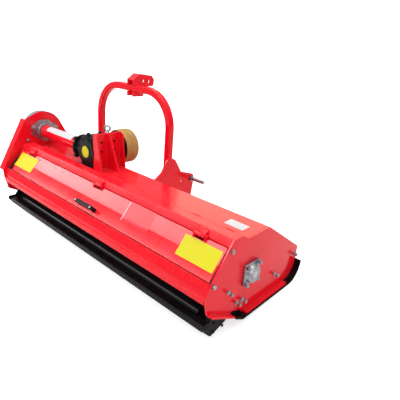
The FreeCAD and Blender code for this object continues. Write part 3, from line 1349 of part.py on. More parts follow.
def make_fasteners():
    """Bolts, studs and nuts, grouped by what they hold."""
    bolts = []
    inner_face = inner_half - size.seat_gap
    for side, name in ((1, "right"), (-1, "left")):
        out = (side, 0, 0)
        inward = (-side, 0, 0)
        face = side * (half_width + size.seat_gap)
        top_bolt, low_bolt = plate_bolt_places(side)
        grip = size.plate_wall + size.seat_gap
        if side > 0:
            bolts.append(bolt("corner_bolt_" + name, (face, *top_bolt), out, grip))
        else:
            bolts.append(bolt("beam_bolt_" + name, (side * inner_face, *top_bolt), inward, grip))
        bar_bolt = bolt("bar_bolt_" + name, (face, *low_bolt), out, grip + size.seat_gap)
        bar_nut = hexagon("bar_nut_" + name, (side * inner_face, *low_bolt), inward, size.bolt_head_height,
                          size.bolt_head)
        bolts.append(joined("bar_bolt_and_nut_" + name, [bar_bolt, bar_nut]))
        for number, place in enumerate(stud_places, start=1):
            start = (face, *place)
            nut = hexagon("stud_nut_%s_%d" % (name, number), start, out, size.stud_nut_height, size.bolt_head)
            shank = rod("stud_shank_%s_%d" % (name, number), start, out, size.stud_stand, size.bolt_radius)
            root = rod("stud_root_%s_%d" % (name, number), start, inward, grip, size.bolt_radius)
            bolts.append(joined("stud_%s_%d" % (name, number), [nut, shank, root]))
        for number, (back, up) in enumerate(((-1, 1), (1, 1), (-1, -1), (1, -1)), start=1):
            start = (side * (inner_half + size.seat_gap), -size.roller_back + back * size.arm_bolt_reach,
                     size.roller_height + up * size.arm_bolt_rise)
            bolts.append(hexagon("arm_bolt_%s_%d" % (name, number), start, out, size.arm_bolt_height,
                                 size.arm_bolt_head))
        for number, front in enumerate((size.skid_bolt_front, -size.skid_bolt_back), start=1):
            start = (side * (half_width + size.skid_bolt_across), front, size.skid_wall)
            bolts.append(rod("skid_bolt_%s_%d" % (name, number), start, (0, 0, 1), size.skid_bolt_height,
                             size.skid_bolt_radius))
        for number, place in enumerate(bearing_bolt_places(), start=1):
            seat = face if side > 0 else -inner_face
            bolts.append(hexagon("bearing_bolt_%s_%d" % (name, number),
                                 (seat + size.flange_wall + size.seat_gap, *place), (1, 0, 0),
                                 size.flange_bolt_height, size.bolt_head))
    for number, (front, up) in enumerate((
            (-size.bearing_bolt_rear_back, size.bearing_bolt_rear_rise),
            (size.bearing_bolt_front, size.bearing_bolt_front_rise),
            (size.bearing_bolt_low_front, -size.bearing_bolt_low_drop)), start=1):
        start = (-(guard_tube_start - size.seat_gap), front, drive_height + up)
        bolts.append(hexagon("upper_bearing_bolt_%d" % number, start, (1, 0, 0), size.bolt_head_height,
                             size.bolt_head))
    keep(group("deck_bolts", bolts), "deck_bolts")


# Stance

def stand_up():
    """Gives every piece its stance: lean first, then the shift from the finished outline."""
    lean = Placement(Vector(), stance_turn())
    for label, piece in pieces.items():
        piece.Placement = lean.multiply(placed[label])
    document.recompute()
    box = FreeCAD.BoundBox()
    for piece in pieces.values():
        box.add(piece.Shape.optimalBoundingBox(False))
    shift = Vector(-box.Center.x, -box.Center.y, -box.ZMin)
    stance = Placement(shift, stance_turn())
    for label, piece in pieces.items():
        piece.Placement = stance.multiply(placed[label])
    document.recompute()
    return stance


def check_and_write():
    failed = [item.Label for item in document.Objects if "Invalid" in item.State or "Error" in item.State]
    if failed:
        raise RuntimeError("Failed: " + ", ".join(failed))
    os.makedirs("parts", exist_ok=True)
    for label, piece in pieces.items():
        shape = piece.Shape
        if shape.isNull() or not shape.isValid() or shape.Volume <= 0:
            raise RuntimeError("%s has no valid solid" % label)
    for label, piece in pieces.items():
        piece.Shape.exportStep("parts/%s.step" % label)


make_end_plates()
make_crossbeam()
make_hood()
make_lower_bar()
make_skid("right_skid", 1)
make_skid("left_skid", -1)
make_door()
make_hinges()
make_handle()
make_roller()
make_roller_arm("right_roller_arm", 1)
make_roller_arm("left_roller_arm", -1)
make_roller_bearings()
make_scraper()
make_rotor()
make_hammer_pins()
for hammer_number in range(int(size.hammer_count.number)):
    make_hammer(hammer_number)
make_rotor_bearing("right_rotor_bearing", half_width + size.seat_gap)
make_rotor_bearing("left_rotor_bearing", -(inner_half - size.seat_gap))
make_gearbox()
make_gearbox_cap()
make_gearbox_fittings()
make_lifting_eye()
make_input_guard()
make_cross_shaft()
make_upper_bearing()
make_pulleys()
make_belts()
make_belt_cover()
make_cover_knob()
make_gearbox_bracket()
make_hitch_frame()
make_hitch_plate("right_hitch_plate", 1)
make_hitch_plate("left_hitch_plate", -1)
make_link_pins()
make_top_link_bracket()
make_flap_rod()
for flap_number in range(int(size.flap_count.number)):
    make_flap(flap_number)
make_fasteners()
stance = stand_up()
check_and_write()
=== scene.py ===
import json
import math

import bmesh
import bpy
from mathutils import Matrix, Vector

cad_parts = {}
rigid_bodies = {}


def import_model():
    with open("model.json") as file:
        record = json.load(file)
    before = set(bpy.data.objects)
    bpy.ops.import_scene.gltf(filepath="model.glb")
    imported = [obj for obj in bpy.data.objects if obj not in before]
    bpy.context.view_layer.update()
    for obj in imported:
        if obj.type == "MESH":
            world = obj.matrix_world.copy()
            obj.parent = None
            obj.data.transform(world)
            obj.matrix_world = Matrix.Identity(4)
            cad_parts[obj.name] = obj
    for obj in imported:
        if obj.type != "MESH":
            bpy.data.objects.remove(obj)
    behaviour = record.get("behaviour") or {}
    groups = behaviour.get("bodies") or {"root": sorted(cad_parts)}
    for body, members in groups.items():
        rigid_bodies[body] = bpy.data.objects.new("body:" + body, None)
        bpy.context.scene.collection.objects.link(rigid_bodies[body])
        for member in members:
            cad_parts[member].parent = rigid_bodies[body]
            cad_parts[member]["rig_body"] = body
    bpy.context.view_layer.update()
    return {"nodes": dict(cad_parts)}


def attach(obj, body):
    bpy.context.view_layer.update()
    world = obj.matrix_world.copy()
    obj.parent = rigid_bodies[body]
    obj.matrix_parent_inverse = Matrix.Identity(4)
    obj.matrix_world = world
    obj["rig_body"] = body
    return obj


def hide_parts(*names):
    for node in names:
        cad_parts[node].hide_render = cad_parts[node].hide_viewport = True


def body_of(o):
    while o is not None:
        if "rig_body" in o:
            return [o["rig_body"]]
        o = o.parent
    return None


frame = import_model()

bl_info = {
    "name": "Flail Mower Dressing",
    "version": (1, 0, 0),
    "blender": (4, 5, 0),
    "location": "View3D > Sidebar > Mower",
    "description": "Paint, castings, fasteners, labels and stage for a rear flail mower",
    "category": "Object",
}

MM = 0.001

# The machine stands on its skid noses and its roller, so the deck leans a little.
# Places given in the deck's own axes go through this stance.
DECK_LEAN = -4.175281
DECK_SHIFT = (0.02315, -0.149874737, 0.028148182)
STANCE = Matrix.Translation(DECK_SHIFT) @ Matrix.Rotation(math.radians(DECK_LEAN), 4, "X")

# Nodes whose edges are rounded: finish, segments, and each node's edge radius in millimetres
ROUNDED_NODES = (
    ("red_paint", 2, {
        "crossbeam": 1.6, "hood_panel": 1.6, "lower_rear_bar": 1.6, "right_end_plate": 2.0,
        "left_end_plate": 2.0, "gearbox_bracket": 1.6, "right_hitch_plate": 1.6, "left_hitch_plate": 1.6,
        "top_link_bracket": 1.6, "hitch_frame": 0.8}),
    ("black_paint", 3, {
        "right_skid": 1.5, "left_skid": 1.5, "right_roller_arm": 2.5, "left_roller_arm": 2.5,
        "scraper_bar": 1.2}),
    ("cast_black", 3, {"guard_cone": 1.2}),
    ("zinc", 2, {"upper_bearing": 2.0}),
)

# Nodes that keep their own shape, by finish
NODE_FINISHES = {
    "red_paint": ("hinge_pins",),
    "rotor_paint": ("rotor",),
    "black_paint": ("ground_roller", "roller_bearings"),
    "grey_paint": ("belt_cover",),
    "cast_black": ("lower_pulley", "upper_pulley"),
    "zinc": ("left_rotor_bearing", "flap_rod", "link_pins"),
    "steel": ("cross_shaft", "hammer_pins"),
    "forged": tuple(f"hammer_{number:02d}" for number in range(1, 11)),
    "black_plastic": ("cover_knob",),
    "belt_rubber": ("drive_belts",) + tuple(f"front_flap_{number}" for number in range(1, 7)),
}

# Places in the deck's axes, in millimetres
HALF_WIDTH = 875.0
INNER_HALF = 867.0
PANEL_TOP = 384.0
INPUT_ACROSS = -279.0
DRIVE_FRONT = 34.0
DRIVE_HEIGHT = 478.0
ROTOR_FRONT = 35.5
ROTOR_HEIGHT = 207.0
OUTPUT_FACE = -405.0
DOOR_TOP = (-129.0, 379.0)
DOOR_CREASE = (-179.0, 315.0)
DOOR_FOOT = (-230.0, 262.0)
HINGE_PLACES = (-716.0, 0.0, 716.0)
HINGE_SHIFT = 6.0
HINGE_PIN = (-134.55, 385.1)
STUD_PLACES = ((-110.0, 169.0), (2.0, 81.0), (-39.0, 84.0), (268.0, 99.0))
BEARING_BOLT_HALF = 41.5
LUG_RING = 71.0
OUTPUT_SCREW_RING = 61.5
CAP_SCREW_RING = 69.0
TUBE_RADIUS = 41.0
HINGE_STRAP_WIDTH = 54.0
HINGE_LUG_OFFSET = 31.8
HANDLE_ACROSS = 16.0
HANDLE_DROP = 46.8
FILM_LIFT = 0.15
YELLOW_LABELS = {"right": (650.0, 853.0), "left": (-827.0, -618.0)}
DOOR_FILM = (270.0, 274.0, 452.0)
PANEL_LABEL = ((714.0, 28.0), (815.0, 28.0), (815.0, 85.0), (714.0, 85.0))
TUBE_FILM = (-776.0, -480.0)

# The photograph's camera in the deck's axes: metres, degrees, and the lens in millimetres
CAMERA_PLACE = (1.62001, -1.23528, 1.10466)
CAMERA_ANGLES = (40.1767, 20.4089, 5.0233)
CAMERA_LENS = 34.711
SENSOR_WIDTH = 36.0
CAMERA_SHIFT = (0.00317, -0.02585)
FLOOR_GLOW = 0.62

finishes = {}


# Sizes and colours

def colour_property(name, description, default):
    return bpy.props.FloatVectorProperty(
        name=name, description=description, default=default, size=3, min=0.0, max=1.0, subtype="COLOR")


def length_property(name, description, default):
    return bpy.props.FloatProperty(name=name, description=description, default=default, min=0.0, unit="LENGTH")


class MowerColours(bpy.types.PropertyGroup):
    """Colours of the mower's finishes."""
    red: colour_property("Red paint", "Gloss powder coat of the deck", (0.80, 0.004, 0.016))
    black: colour_property("Black paint", "Satin paint of the skids and roller", (0.0035, 0.0035, 0.0050))
    casting: colour_property("Casting black", "Paint on the gearbox and pulleys", (0.0045, 0.0048, 0.0062))
    grey: colour_property("Cover grey", "Paint of the belt cover", (0.165, 0.185, 0.23))
    zinc: colour_property("Zinc", "Plating of bolts and bearings", (0.42, 0.45, 0.48))
    steel: colour_property("Steel", "Bare shafts and pins", (0.46, 0.46, 0.48))
    forged: colour_property("Forged steel", "Oiled hammers", (0.085, 0.075, 0.068))
    gold: colour_property("Guard gold", "Moulded sleeve over the input shaft", (0.38, 0.235, 0.075))
    moulded: colour_property("Black plastic", "Handle and knob", (0.005, 0.005, 0.006))
    rubber: colour_property("Rubber", "Belts and front flaps", (0.018, 0.018, 0.019))
    label_yellow: colour_property("Label yellow", "Reflective yellow sheeting", (0.66, 0.60, 0.012))
    label_white: colour_property("Label white", "Plain white film", (0.60, 0.61, 0.63))
    label_clear: colour_property("Clear film", "Film over the red paint", (0.84, 0.035, 0.05))


class MowerSizes(bpy.types.PropertyGroup):
    """Sizes of the pieces that dress the mower."""
    label_film: length_property("Film thickness", "Thickness of a stuck-on label", 0.0006)
    bolt_radius: length_property("Thread radius", "Radius of the deck's threads", 0.006)
    nut_radius: length_property("Nut radius", "Half of a nut's width over its corners", 0.0098)
    nut_height: length_property("Nut height", "Height of a nut", 0.010)
    head_height: length_property("Head height", "Height of a bolt's head", 0.0072)
    washer_radius: length_property("Washer radius", "Radius of the washer under a head", 0.0108)
    washer_height: length_property("Washer height", "Thickness of a washer", 0.0018)
    stud_stand: length_property("Stud stand", "How far the plates' studs stand out", 0.028)
    thread_pitch: length_property("Thread pitch", "Distance between the turns of a thread", 0.0022)
    handle_length: length_property("Handle length", "Length of the door handle", 0.150)
    handle_width: length_property("Handle width", "Width of the door handle", 0.021)
    handle_stand: length_property("Handle stand", "How far the handle stands out", 0.040)
    weld_radius: length_property("Weld radius", "Half the width of a weld bead", 0.0035)
    weld_pitch: length_property("Weld pitch", "Distance between the ripples of a weld", 0.0045)


class MowerStage(bpy.types.PropertyGroup):
    """Light on the stage."""
    sky_low: bpy.props.FloatProperty(name="Low sky", description="Level at the horizon", default=0.26, min=0.0)
    sky_high: bpy.props.FloatProperty(name="High sky", description="Level overhead", default=0.95, min=0.0)
    key: bpy.props.FloatProperty(name="Key", description="Power of the large lamp overhead", default=115.0, min=0.0)
    fill: bpy.props.FloatProperty(
        name="Fill", description="Power of the lamp beside the camera", default=52.0, min=0.0)
    strip: bpy.props.FloatProperty(name="Strip", description="Power of the long lamp behind", default=105.0, min=0.0)
    front: bpy.props.FloatProperty(
        name="Front", description="Power of the lamp beyond the hitch", default=36.0, min=0.0)


# Making and finishing pieces

def drop_selection():
    active = bpy.context.view_layer.objects.active
    if active is not None and active.mode != "OBJECT":
        bpy.ops.object.mode_set(mode="OBJECT")
    bpy.ops.object.select_all(action="DESELECT")


def take_up(piece):
    drop_selection()
    piece.select_set(True)
    bpy.context.view_layer.objects.active = piece


def edit(piece):
    take_up(piece)
    bpy.ops.object.mode_set(mode="EDIT")
    bpy.ops.mesh.select_all(action="DESELECT")


def leave_edit():
    bpy.ops.object.mode_set(mode="OBJECT")


def pick(kind, test):
    """Selects the faces, edges or vertices of the mesh in edit mode whose middle and normal pass a test."""
    mesh = bpy.context.edit_object.data
    bpy.ops.mesh.select_mode(type={"faces": "FACE", "edges": "EDGE", "verts": "VERT"}[kind])
    bpy.ops.mesh.select_all(action="DESELECT")
    form = bmesh.from_edit_mesh(mesh)
    for item in getattr(form, kind):
        if kind == "faces":
            chosen = test(item.calc_center_median(), item.normal)
        elif kind == "edges":
            chosen = test((item.verts[0].co + item.verts[1].co) / 2, item.verts[1].co - item.verts[0].co)
        else:
            chosen = test(item.co, item.normal)
        item.select_set(bool(chosen))
    bmesh.update_edit_mesh(mesh)


def apply_modifier(piece, kind, **values):
    modifier = piece.modifiers.new(kind.title(), kind)
    for name, value in values.items():
        setattr(modifier, name, value)
    take_up(piece)
    bpy.ops.object.modifier_apply(modifier=modifier.name)


def dress(piece, finish):
    piece.data.materials.clear()
    piece.data.materials.append(finishes[finish])


def settle(piece, name, body, finish, place=None, smooth=35):
    """Puts a finished piece's place into its mesh, smooths it, paints it and lets it ride on its body."""
    take_up(piece)
    bpy.ops.object.transform_apply(location=True, rotation=True, scale=True)
    if place is not None:
        piece.data.transform(place)
    bpy.ops.object.shade_smooth_by_angle(angle=math.radians(smooth))
    piece.name = name
    piece.data.name = name
    dress(piece, finish)
    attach(piece, body)
    return piece


def rounded_copy(node, edge, finish, segments=2, angle=28, notch=None, smooth=35):
    """A copy of a node's shape whose sharp edges get the small radius of real sheet metal or of a casting."""
    piece = bpy.data.objects.new(f"{node}_finished", frame["nodes"][node].data.copy())
    bpy.context.collection.objects.link(piece)
    take_up(piece)
    bpy.ops.mesh.customdata_custom_splitnormals_clear()
    edit(piece)
    bpy.ops.mesh.select_all(action="SELECT")
    bpy.ops.mesh.remove_doubles(threshold=0.00002)
    bpy.ops.mesh.dissolve_limited(angle_limit=math.radians(0.6))
    leave_edit()
    for cutter in notch or ():
        apply_modifier(piece, "BOOLEAN", object=cutter, operation="DIFFERENCE", solver="EXACT")
        bpy.data.objects.remove(cutter)
    apply_modifier(
        piece, "BEVEL", width=edge * MM, segments=segments, limit_method="ANGLE",
        angle_limit=math.radians(angle), miter_outer="MITER_ARC", harden_normals=False)
    settle(piece, f"{node}_finished", body_of(frame["nodes"][node])[0], finish, smooth=smooth)
    apply_modifier(piece, "WEIGHTED_NORMAL", weight=100, keep_sharp=True)
    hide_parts(node)
    return piece


def duplicate(piece, place):
    copy = bpy.data.objects.new(piece.name, piece.data.copy())
    bpy.context.collection.objects.link(copy)
    copy.data.transform(place)
    return copy


def join(pieces):
    drop_selection()
    for piece in pieces:
        piece.select_set(True)
    bpy.context.view_layer.objects.active = pieces[0]
    bpy.ops.object.join()
    return pieces[0]


def at(x, y, z):
    """A place in the deck's axes, given in millimetres."""
    return Matrix.Translation(Vector((x, y, z)) * MM)


def aimed(start, along):
    """A place in the deck's axes whose Z points along a direction."""
    return at(*start) @ Vector(along).to_track_quat("Z", "Y").to_matrix().to_4x4()


def on_door(across, point, following, lift=0.0):
    """A place on a sheet, from one point of its side view to the next one down: X across, Y up it, Z out of it."""
    upwards = (Vector((0.0, *point)) - Vector((0.0, *following))).normalized()
    across_way = Vector((1.0, 0.0, 0.0))
    out = across_way.cross(upwards)
    place = Matrix((across_way, upwards, out)).transposed().to_4x4()
    place.translation = (Vector((across, *point)) + out * lift) * MM
    return place


def box_piece(low, high, edge=0.0, segments=2):
    """A block between two corners in metres, its edges rounded."""
    low, high = Vector(low), Vector(high)
    drop_selection()
    bpy.ops.mesh.primitive_cube_add(size=1.0, location=(low + high) / 2, scale=high - low)
    piece = bpy.context.object
    bpy.ops.object.transform_apply(location=True, rotation=True, scale=True)
    if edge:
        edit(piece)
        bpy.ops.mesh.select_all(action="SELECT")
        bpy.ops.mesh.bevel(offset=edge, segments=segments, affect="EDGES")
        leave_edit()
    return piece


def turned(sections, sides=24, through=False):
    """A turned piece on Z: each section is a height and a radius in metres, extruded from the one before."""
    drop_selection()
    first, radius = sections[0]
    height = first
    bpy.ops.mesh.primitive_circle_add(
        vertices=sides, radius=radius, fill_type="NGON", location=(0.0, 0.0, height))
    piece = bpy.context.object
    bpy.ops.object.transform_apply(location=True, rotation=True, scale=True)
    edit(piece)
    bpy.ops.mesh.select_mode(type="FACE")
    bpy.ops.mesh.select_all(action="SELECT")
    for next_height, next_radius in sections[1:]:
        bpy.ops.mesh.extrude_region_move(TRANSFORM_OT_translate={"value": (0.0, 0.0, next_height - height)})
        if next_radius != radius:
            ratio = next_radius / radius
            bpy.ops.transform.resize(value=(ratio, ratio, 1.0))
        height, radius = next_height, next_radius
    if through:
        pick("faces", lambda middle, normal: math.hypot(middle.x, middle.y) < 1e-5 and abs(middle.z - first) < 1e-5)
        bpy.ops.mesh.delete(type="ONLY_FACE")
        bpy.ops.mesh.select_all(action="SELECT")
        bpy.ops.mesh.remove_doubles(threshold=0.00001)
    bpy.ops.mesh.select_all(action="SELECT")
    bpy.ops.mesh.normals_make_consistent(inside=False)
    leave_edit()
    return piece


def drawn_out(points, along):
    """A closed outline in millimetres, drawn out along a direction."""
    drop_selection()
    bpy.ops.mesh.primitive_circle_add(vertices=len(points), radius=0.01, fill_type="NGON")
    piece = bpy.context.object
    for vertex, point in zip(piece.data.vertices, points):
        vertex.co = Vector(point) * MM
    edit(piece)
    bpy.ops.mesh.select_all(action="SELECT")
    bpy.ops.mesh.extrude_region_move(TRANSFORM_OT_translate={"value": Vector(along) * MM})
    bpy.ops.mesh.select_all(action="SELECT")
    bpy.ops.mesh.normals_make_consistent(inside=False)
    leave_edit()
    return piece


def side_strip(points, width, middle=0.0):
    """A side view outline, forward and up, drawn out along X about a middle."""
    start = middle - width / 2
    return drawn_out([(start, forward, up) for forward, up in points], (width, 0.0, 0.0))


def soften(piece, edge, segments=2, angle=30):
    """Rounds the sharp edges of a modelled piece."""
    apply_modifier(piece, "BEVEL", width=edge, segments=segments, limit_method="ANGLE",
                   angle_limit=math.radians(angle), miter_outer="MITER_ARC")
    return piece


def copies(model, places):
    """Copies of a model, one at each place, joined; the model goes."""
    made = [duplicate(model, place) for place in places]
    bpy.data.objects.remove(model)
    return join(made)


def weld(ends, sizes):
    """Weld beads along straight seams, each given by its two ends in the deck's axes in millimetres."""
    beads = []
    for start, end in ends:
        start, end = Vector(start) * MM, Vector(end) * MM
        drop_selection()
        bpy.ops.mesh.primitive_uv_sphere_add(segments=8, ring_count=6, radius=sizes.weld_radius)
        bead = bpy.context.object
        bead.data.transform(Matrix.Diagonal((1.0, 1.0, 0.8, 1.0)))
        count = max(2, int((end - start).length / sizes.weld_pitch))
        apply_modifier(bead, "ARRAY", count=count, use_relative_offset=False, use_constant_offset=True,
                       constant_offset_displace=(0.0, 0.0, (end - start).length / count))
        bead.data.transform(aimed(start / MM, end - start))
        beads.append(bead)
    return join(beads)


# Material groups

def new_group(name, inputs, outputs):
    group = bpy.data.node_groups.new(name, "ShaderNodeTree")
    for title, kind, default in inputs:
        socket = group.interface.new_socket(title, in_out="INPUT", socket_type=kind)
        if default is not None:
            socket.default_value = default
    for title, kind in outputs:
        group.interface.new_socket(title, in_out="OUTPUT", socket_type=kind)
    return group


def node(tree, kind, inputs=None, **values):
    item = tree.nodes.new(kind)
    for name, value in values.items():
        setattr(item, name, value)
    for key, value in (inputs or {}).items():
        if isinstance(value, bpy.types.NodeSocket):
            tree.links.new(value, item.inputs[key])
        else:
            item.inputs[key].default_value = value
    return item


def maths(tree, operation, first, second):
    return node(tree, "ShaderNodeMath", {0: first, 1: second}, operation=operation).outputs[0]


def noise(tree, vector, scale, detail, roughness):
    return node(tree, "ShaderNodeTexNoise", {
        "Vector": vector, "Scale": scale, "Detail": detail, "Roughness": roughness}).outputs["Fac"]


def bump_surface(tree, shader, height, strength, distance):
    bump = node(tree, "ShaderNodeBump", {"Height": height, "Strength": strength, "Distance": distance})
    tree.links.new(bump.outputs["Normal"], shader.inputs["Normal"])


def ramp(tree, factor, low, high, low_value=0.0, high_value=1.0):
    item = node(tree, "ShaderNodeMapRange", {
        "Value": factor, "From Min": low, "From Max": high, "To Min": low_value, "To Max": high_value})
    return item.outputs["Result"]


def blend_colour(tree, factor, first, second):
    item = node(tree, "ShaderNodeMix", {"Factor": factor}, data_type="RGBA")
    for socket, value in ((6, first), (7, second)):
        if isinstance(value, bpy.types.NodeSocket):
            tree.links.new(value, item.inputs[socket])
        else:
            item.inputs[socket].default_value = (*value[:3], 1.0)
    return item.outputs[2]


def make_paint_group():
    """Slow change of tone, and the fine ripple that sprayed paint dries with."""
    group = new_group(
        "paint_surface",
        (("Position", "NodeSocketVector", None), ("Patch Size", "NodeSocketFloat", 0.2),
         ("Ripple Size", "NodeSocketFloat", 0.004)),
        (("Tone", "NodeSocketFloat"), ("Ripple", "NodeSocketFloat")))
    enter = group.nodes.new("NodeGroupInput")
    leave = group.nodes.new("NodeGroupOutput")
    patch_scale = maths(group, "DIVIDE", 1.0, enter.outputs["Patch Size"])
    ripple_scale = maths(group, "DIVIDE", 1.0, enter.outputs["Ripple Size"])
    tone = noise(group, enter.outputs["Position"], patch_scale, 4.0, 0.6)
    ripple = noise(group, enter.outputs["Position"], ripple_scale, 2.0, 0.4)
    group.links.new(tone, leave.inputs["Tone"])
    group.links.new(ripple, leave.inputs["Ripple"])
    return group


def make_wear_group():
    """Thin wear along the outer edges, broken up by a noise."""
    group = new_group(
        "edge_wear",
        (("Position", "NodeSocketVector", None), ("Start", "NodeSocketFloat", 0.53),
         ("Amount", "NodeSocketFloat", 0.5)),
        (("Mask", "NodeSocketFloat"),))
    enter = group.nodes.new("NodeGroupInput")
    leave = group.nodes.new("NodeGroupOutput")
    shape = group.nodes.new("ShaderNodeNewGeometry")
    start = enter.outputs["Start"]
    end = maths(group, "ADD", start, 0.10)
    edge = ramp(group, shape.outputs["Pointiness"], start, end)
    broken = ramp(group, noise(group, enter.outputs["Position"], 90.0, 5.0, 0.7), 0.42, 0.62)
    mask = maths(group, "MULTIPLY", edge, broken)
    mask = maths(group, "MULTIPLY", mask, enter.outputs["Amount"])
    group.links.new(mask, leave.inputs["Mask"])
    return group


def make_dust_group():
    """Pale dust that lies on faces turned upwards."""
    group = new_group(
        "lying_dust",
        (("Position", "NodeSocketVector", None), ("Amount", "NodeSocketFloat", 0.2)),
        (("Mask", "NodeSocketFloat"),))
    enter = group.nodes.new("NodeGroupInput")
    leave = group.nodes.new("NodeGroupOutput")
    shape = group.nodes.new("ShaderNodeNewGeometry")
    up = node(group, "ShaderNodeSeparateXYZ", {0: shape.outputs["Normal"]}).outputs["Z"]
    flat = ramp(group, up, 0.3, 1.0)
    spread = ramp(group, noise(group, enter.outputs["Position"], 14.0, 6.0, 0.65), 0.35, 0.75)
    mask = maths(group, "MULTIPLY", flat, spread)
    mask = maths(group, "MULTIPLY", mask, enter.outputs["Amount"])
    group.links.new(mask, leave.inputs["Mask"])
    return group


def start_material(name):
    material = bpy.data.materials.new(name)
    material.use_nodes = True
    tree = material.node_tree
    shader = tree.nodes["Principled BSDF"]
    position = tree.nodes.new("ShaderNodeTexCoord").outputs["Object"]
    finishes[name] = material
    return tree, shader, position


def group_node(tree, group, inputs):
    return node(tree, "ShaderNodeGroup", inputs, node_tree=bpy.data.node_groups[group])


def painted(name, colour, roughness, ripple=0.03, wear=0.15, worn=(0.95, 0.30, 0.28), dust=0.03,
            specular=0.22, shade=0.93):
    """A painted metal: tone drifts a little, edges are thin or worn, and a little dust lies on top."""
    tree, shader, position = start_material(name)
    paint = group_node(tree, "paint_surface", {
        "Position": position, "Patch Size": 0.35, "Ripple Size": 0.006})
    wear_mask = group_node(tree, "edge_wear", {"Position": position, "Amount": wear}).outputs["Mask"]
    dust_mask = group_node(tree, "lying_dust", {"Position": position, "Amount": dust}).outputs["Mask"]
    deep = [channel * shade for channel in colour]
    tone = ramp(tree, paint.outputs["Tone"], 0.35, 0.65)
    base = blend_colour(tree, tone, deep, colour)
    base = blend_colour(tree, wear_mask, base, worn)
    base = blend_colour(tree, dust_mask, base, (0.62, 0.58, 0.53))
    rough = ramp(tree, paint.outputs["Tone"], 0.3, 0.7, roughness * 0.85, roughness * 1.2)
    rough = maths(tree, "ADD", rough, maths(tree, "MULTIPLY", dust_mask, 0.5))
    shader.inputs["Specular IOR Level"].default_value = specular
    if name == "rotor_paint":
        bare = stub_mask(tree, position)
        base = blend_colour(tree, bare, base, (0.50, 0.50, 0.52))
        tree.links.new(bare, shader.inputs["Metallic"])
    tree.links.new(base, shader.inputs["Base Color"])
    tree.links.new(rough, shader.inputs["Roughness"])
    bump_surface(tree, shader, paint.outputs["Ripple"], ripple, 0.0006)


def stub_mask(tree, position):
    """One on the rotor's bare stub shafts, past the ends of its painted tube."""
    across = node(tree, "ShaderNodeSeparateXYZ", {0: position}).outputs["X"]
    return maths(tree, "GREATER_THAN", maths(tree, "ABSOLUTE", across, 0.0), 0.8235)


def bare_metal(name, colour, roughness, grain=120.0, stretch=(1.0, 1.0, 1.0)):
    """Plated or turned metal: fine grain, and a duller bloom in patches."""
    tree, shader, position = start_material(name)
    stretched = node(tree, "ShaderNodeMapping", {"Vector": position, "Scale": stretch}).outputs[0]
    fine = noise(tree, stretched, grain, 4.0, 0.6)
    bloom = ramp(tree, noise(tree, position, 22.0, 3.0, 0.55), 0.35, 0.65)
    base = blend_colour(tree, bloom, [channel * 0.72 for channel in colour], colour)
    tree.links.new(base, shader.inputs["Base Color"])
    shader.inputs["Metallic"].default_value = 1.0
    rough = ramp(tree, fine, 0.3, 0.7, roughness * 0.8, roughness * 1.3)
    tree.links.new(rough, shader.inputs["Roughness"])
    bump_surface(tree, shader, fine, 0.1, 0.0002)


def cast(name, colour, roughness, grain=260.0, strength=0.30, specular=0.14):
    """A painted casting: pebbled skin, worn high spots."""
    tree, shader, position = start_material(name)
    pebbles = node(tree, "ShaderNodeTexVoronoi", {
        "Vector": position, "Scale": grain, "Randomness": 1.0}).outputs["Distance"]
    cloud = noise(tree, position, 30.0, 5.0, 0.6)
    wear_mask = group_node(tree, "edge_wear", {
        "Position": position, "Amount": 0.25, "Start": 0.54}).outputs["Mask"]
    dust_mask = group_node(tree, "lying_dust", {"Position": position, "Amount": 0.05}).outputs["Mask"]
    base = blend_colour(tree, ramp(tree, cloud, 0.3, 0.7), colour, [channel * 1.6 for channel in colour])
    base = blend_colour(tree, wear_mask, base, (0.10, 0.10, 0.11))
    base = blend_colour(tree, dust_mask, base, (0.30, 0.29, 0.28))
    shader.inputs["Specular IOR Level"].default_value = specular
    tree.links.new(base, shader.inputs["Base Color"])
    rough = ramp(tree, cloud, 0.3, 0.7, roughness * 0.85, roughness * 1.15)
    tree.links.new(rough, shader.inputs["Roughness"])
    height = maths(tree, "ADD", pebbles, maths(tree, "MULTIPLY", cloud, 0.6))
    bump_surface(tree, shader, height, strength, 0.0008)


def moulded(name, colour, roughness, grain=900.0, strength=0.12, lift=1.35, specular=0.16):
    """Moulded plastic or rubber: a fine spark-eroded skin and faint scuffs."""
    tree, shader, position = start_material(name)
    skin = noise(tree, position, grain, 2.0, 0.5)
    scuff = noise(tree, position, 26.0, 6.0, 0.7)
    base = blend_colour(tree, ramp(tree, scuff, 0.4, 0.7), colour, [min(1.0, channel * lift) for channel in colour])
    shader.inputs["Specular IOR Level"].default_value = specular
    tree.links.new(base, shader.inputs["Base Color"])
    rough = ramp(tree, scuff, 0.3, 0.7, roughness * 0.85, min(1.0, roughness * 1.2))
    tree.links.new(rough, shader.inputs["Roughness"])
    bump_surface(tree, shader, skin, strength, 0.0003)


def sheeting(name, colour, roughness, cell=0.004, strength=0.2, specular=0.12):
    """Label film: retroreflective cells under a clear face, or plain film."""
    tree, shader, position = start_material(name)
    cells = node(tree, "ShaderNodeTexVoronoi", {
        "Vector": position, "Scale": 1.0 / cell, "Randomness": 0.0}, feature="DISTANCE_TO_EDGE").outputs["Distance"]
    lines = ramp(tree, cells, 0.02, 0.10)
    tint = node(tree, "ShaderNodeTexNoise", {"Vector": position, "Scale": 12.0, "Detail": 3.0}).outputs["Fac"]
    base = blend_colour(tree, ramp(tree, tint, 0.3, 0.7), [channel * 0.93 for channel in colour], colour)
    base = blend_colour(tree, lines, [channel * 0.9 for channel in colour], base)
    tree.links.new(base, shader.inputs["Base Color"])
    shader.inputs["Roughness"].default_value = roughness
    shader.inputs["Specular IOR Level"].default_value = specular
    bump_surface(tree, shader, lines, strength, 0.0001)


# Operators

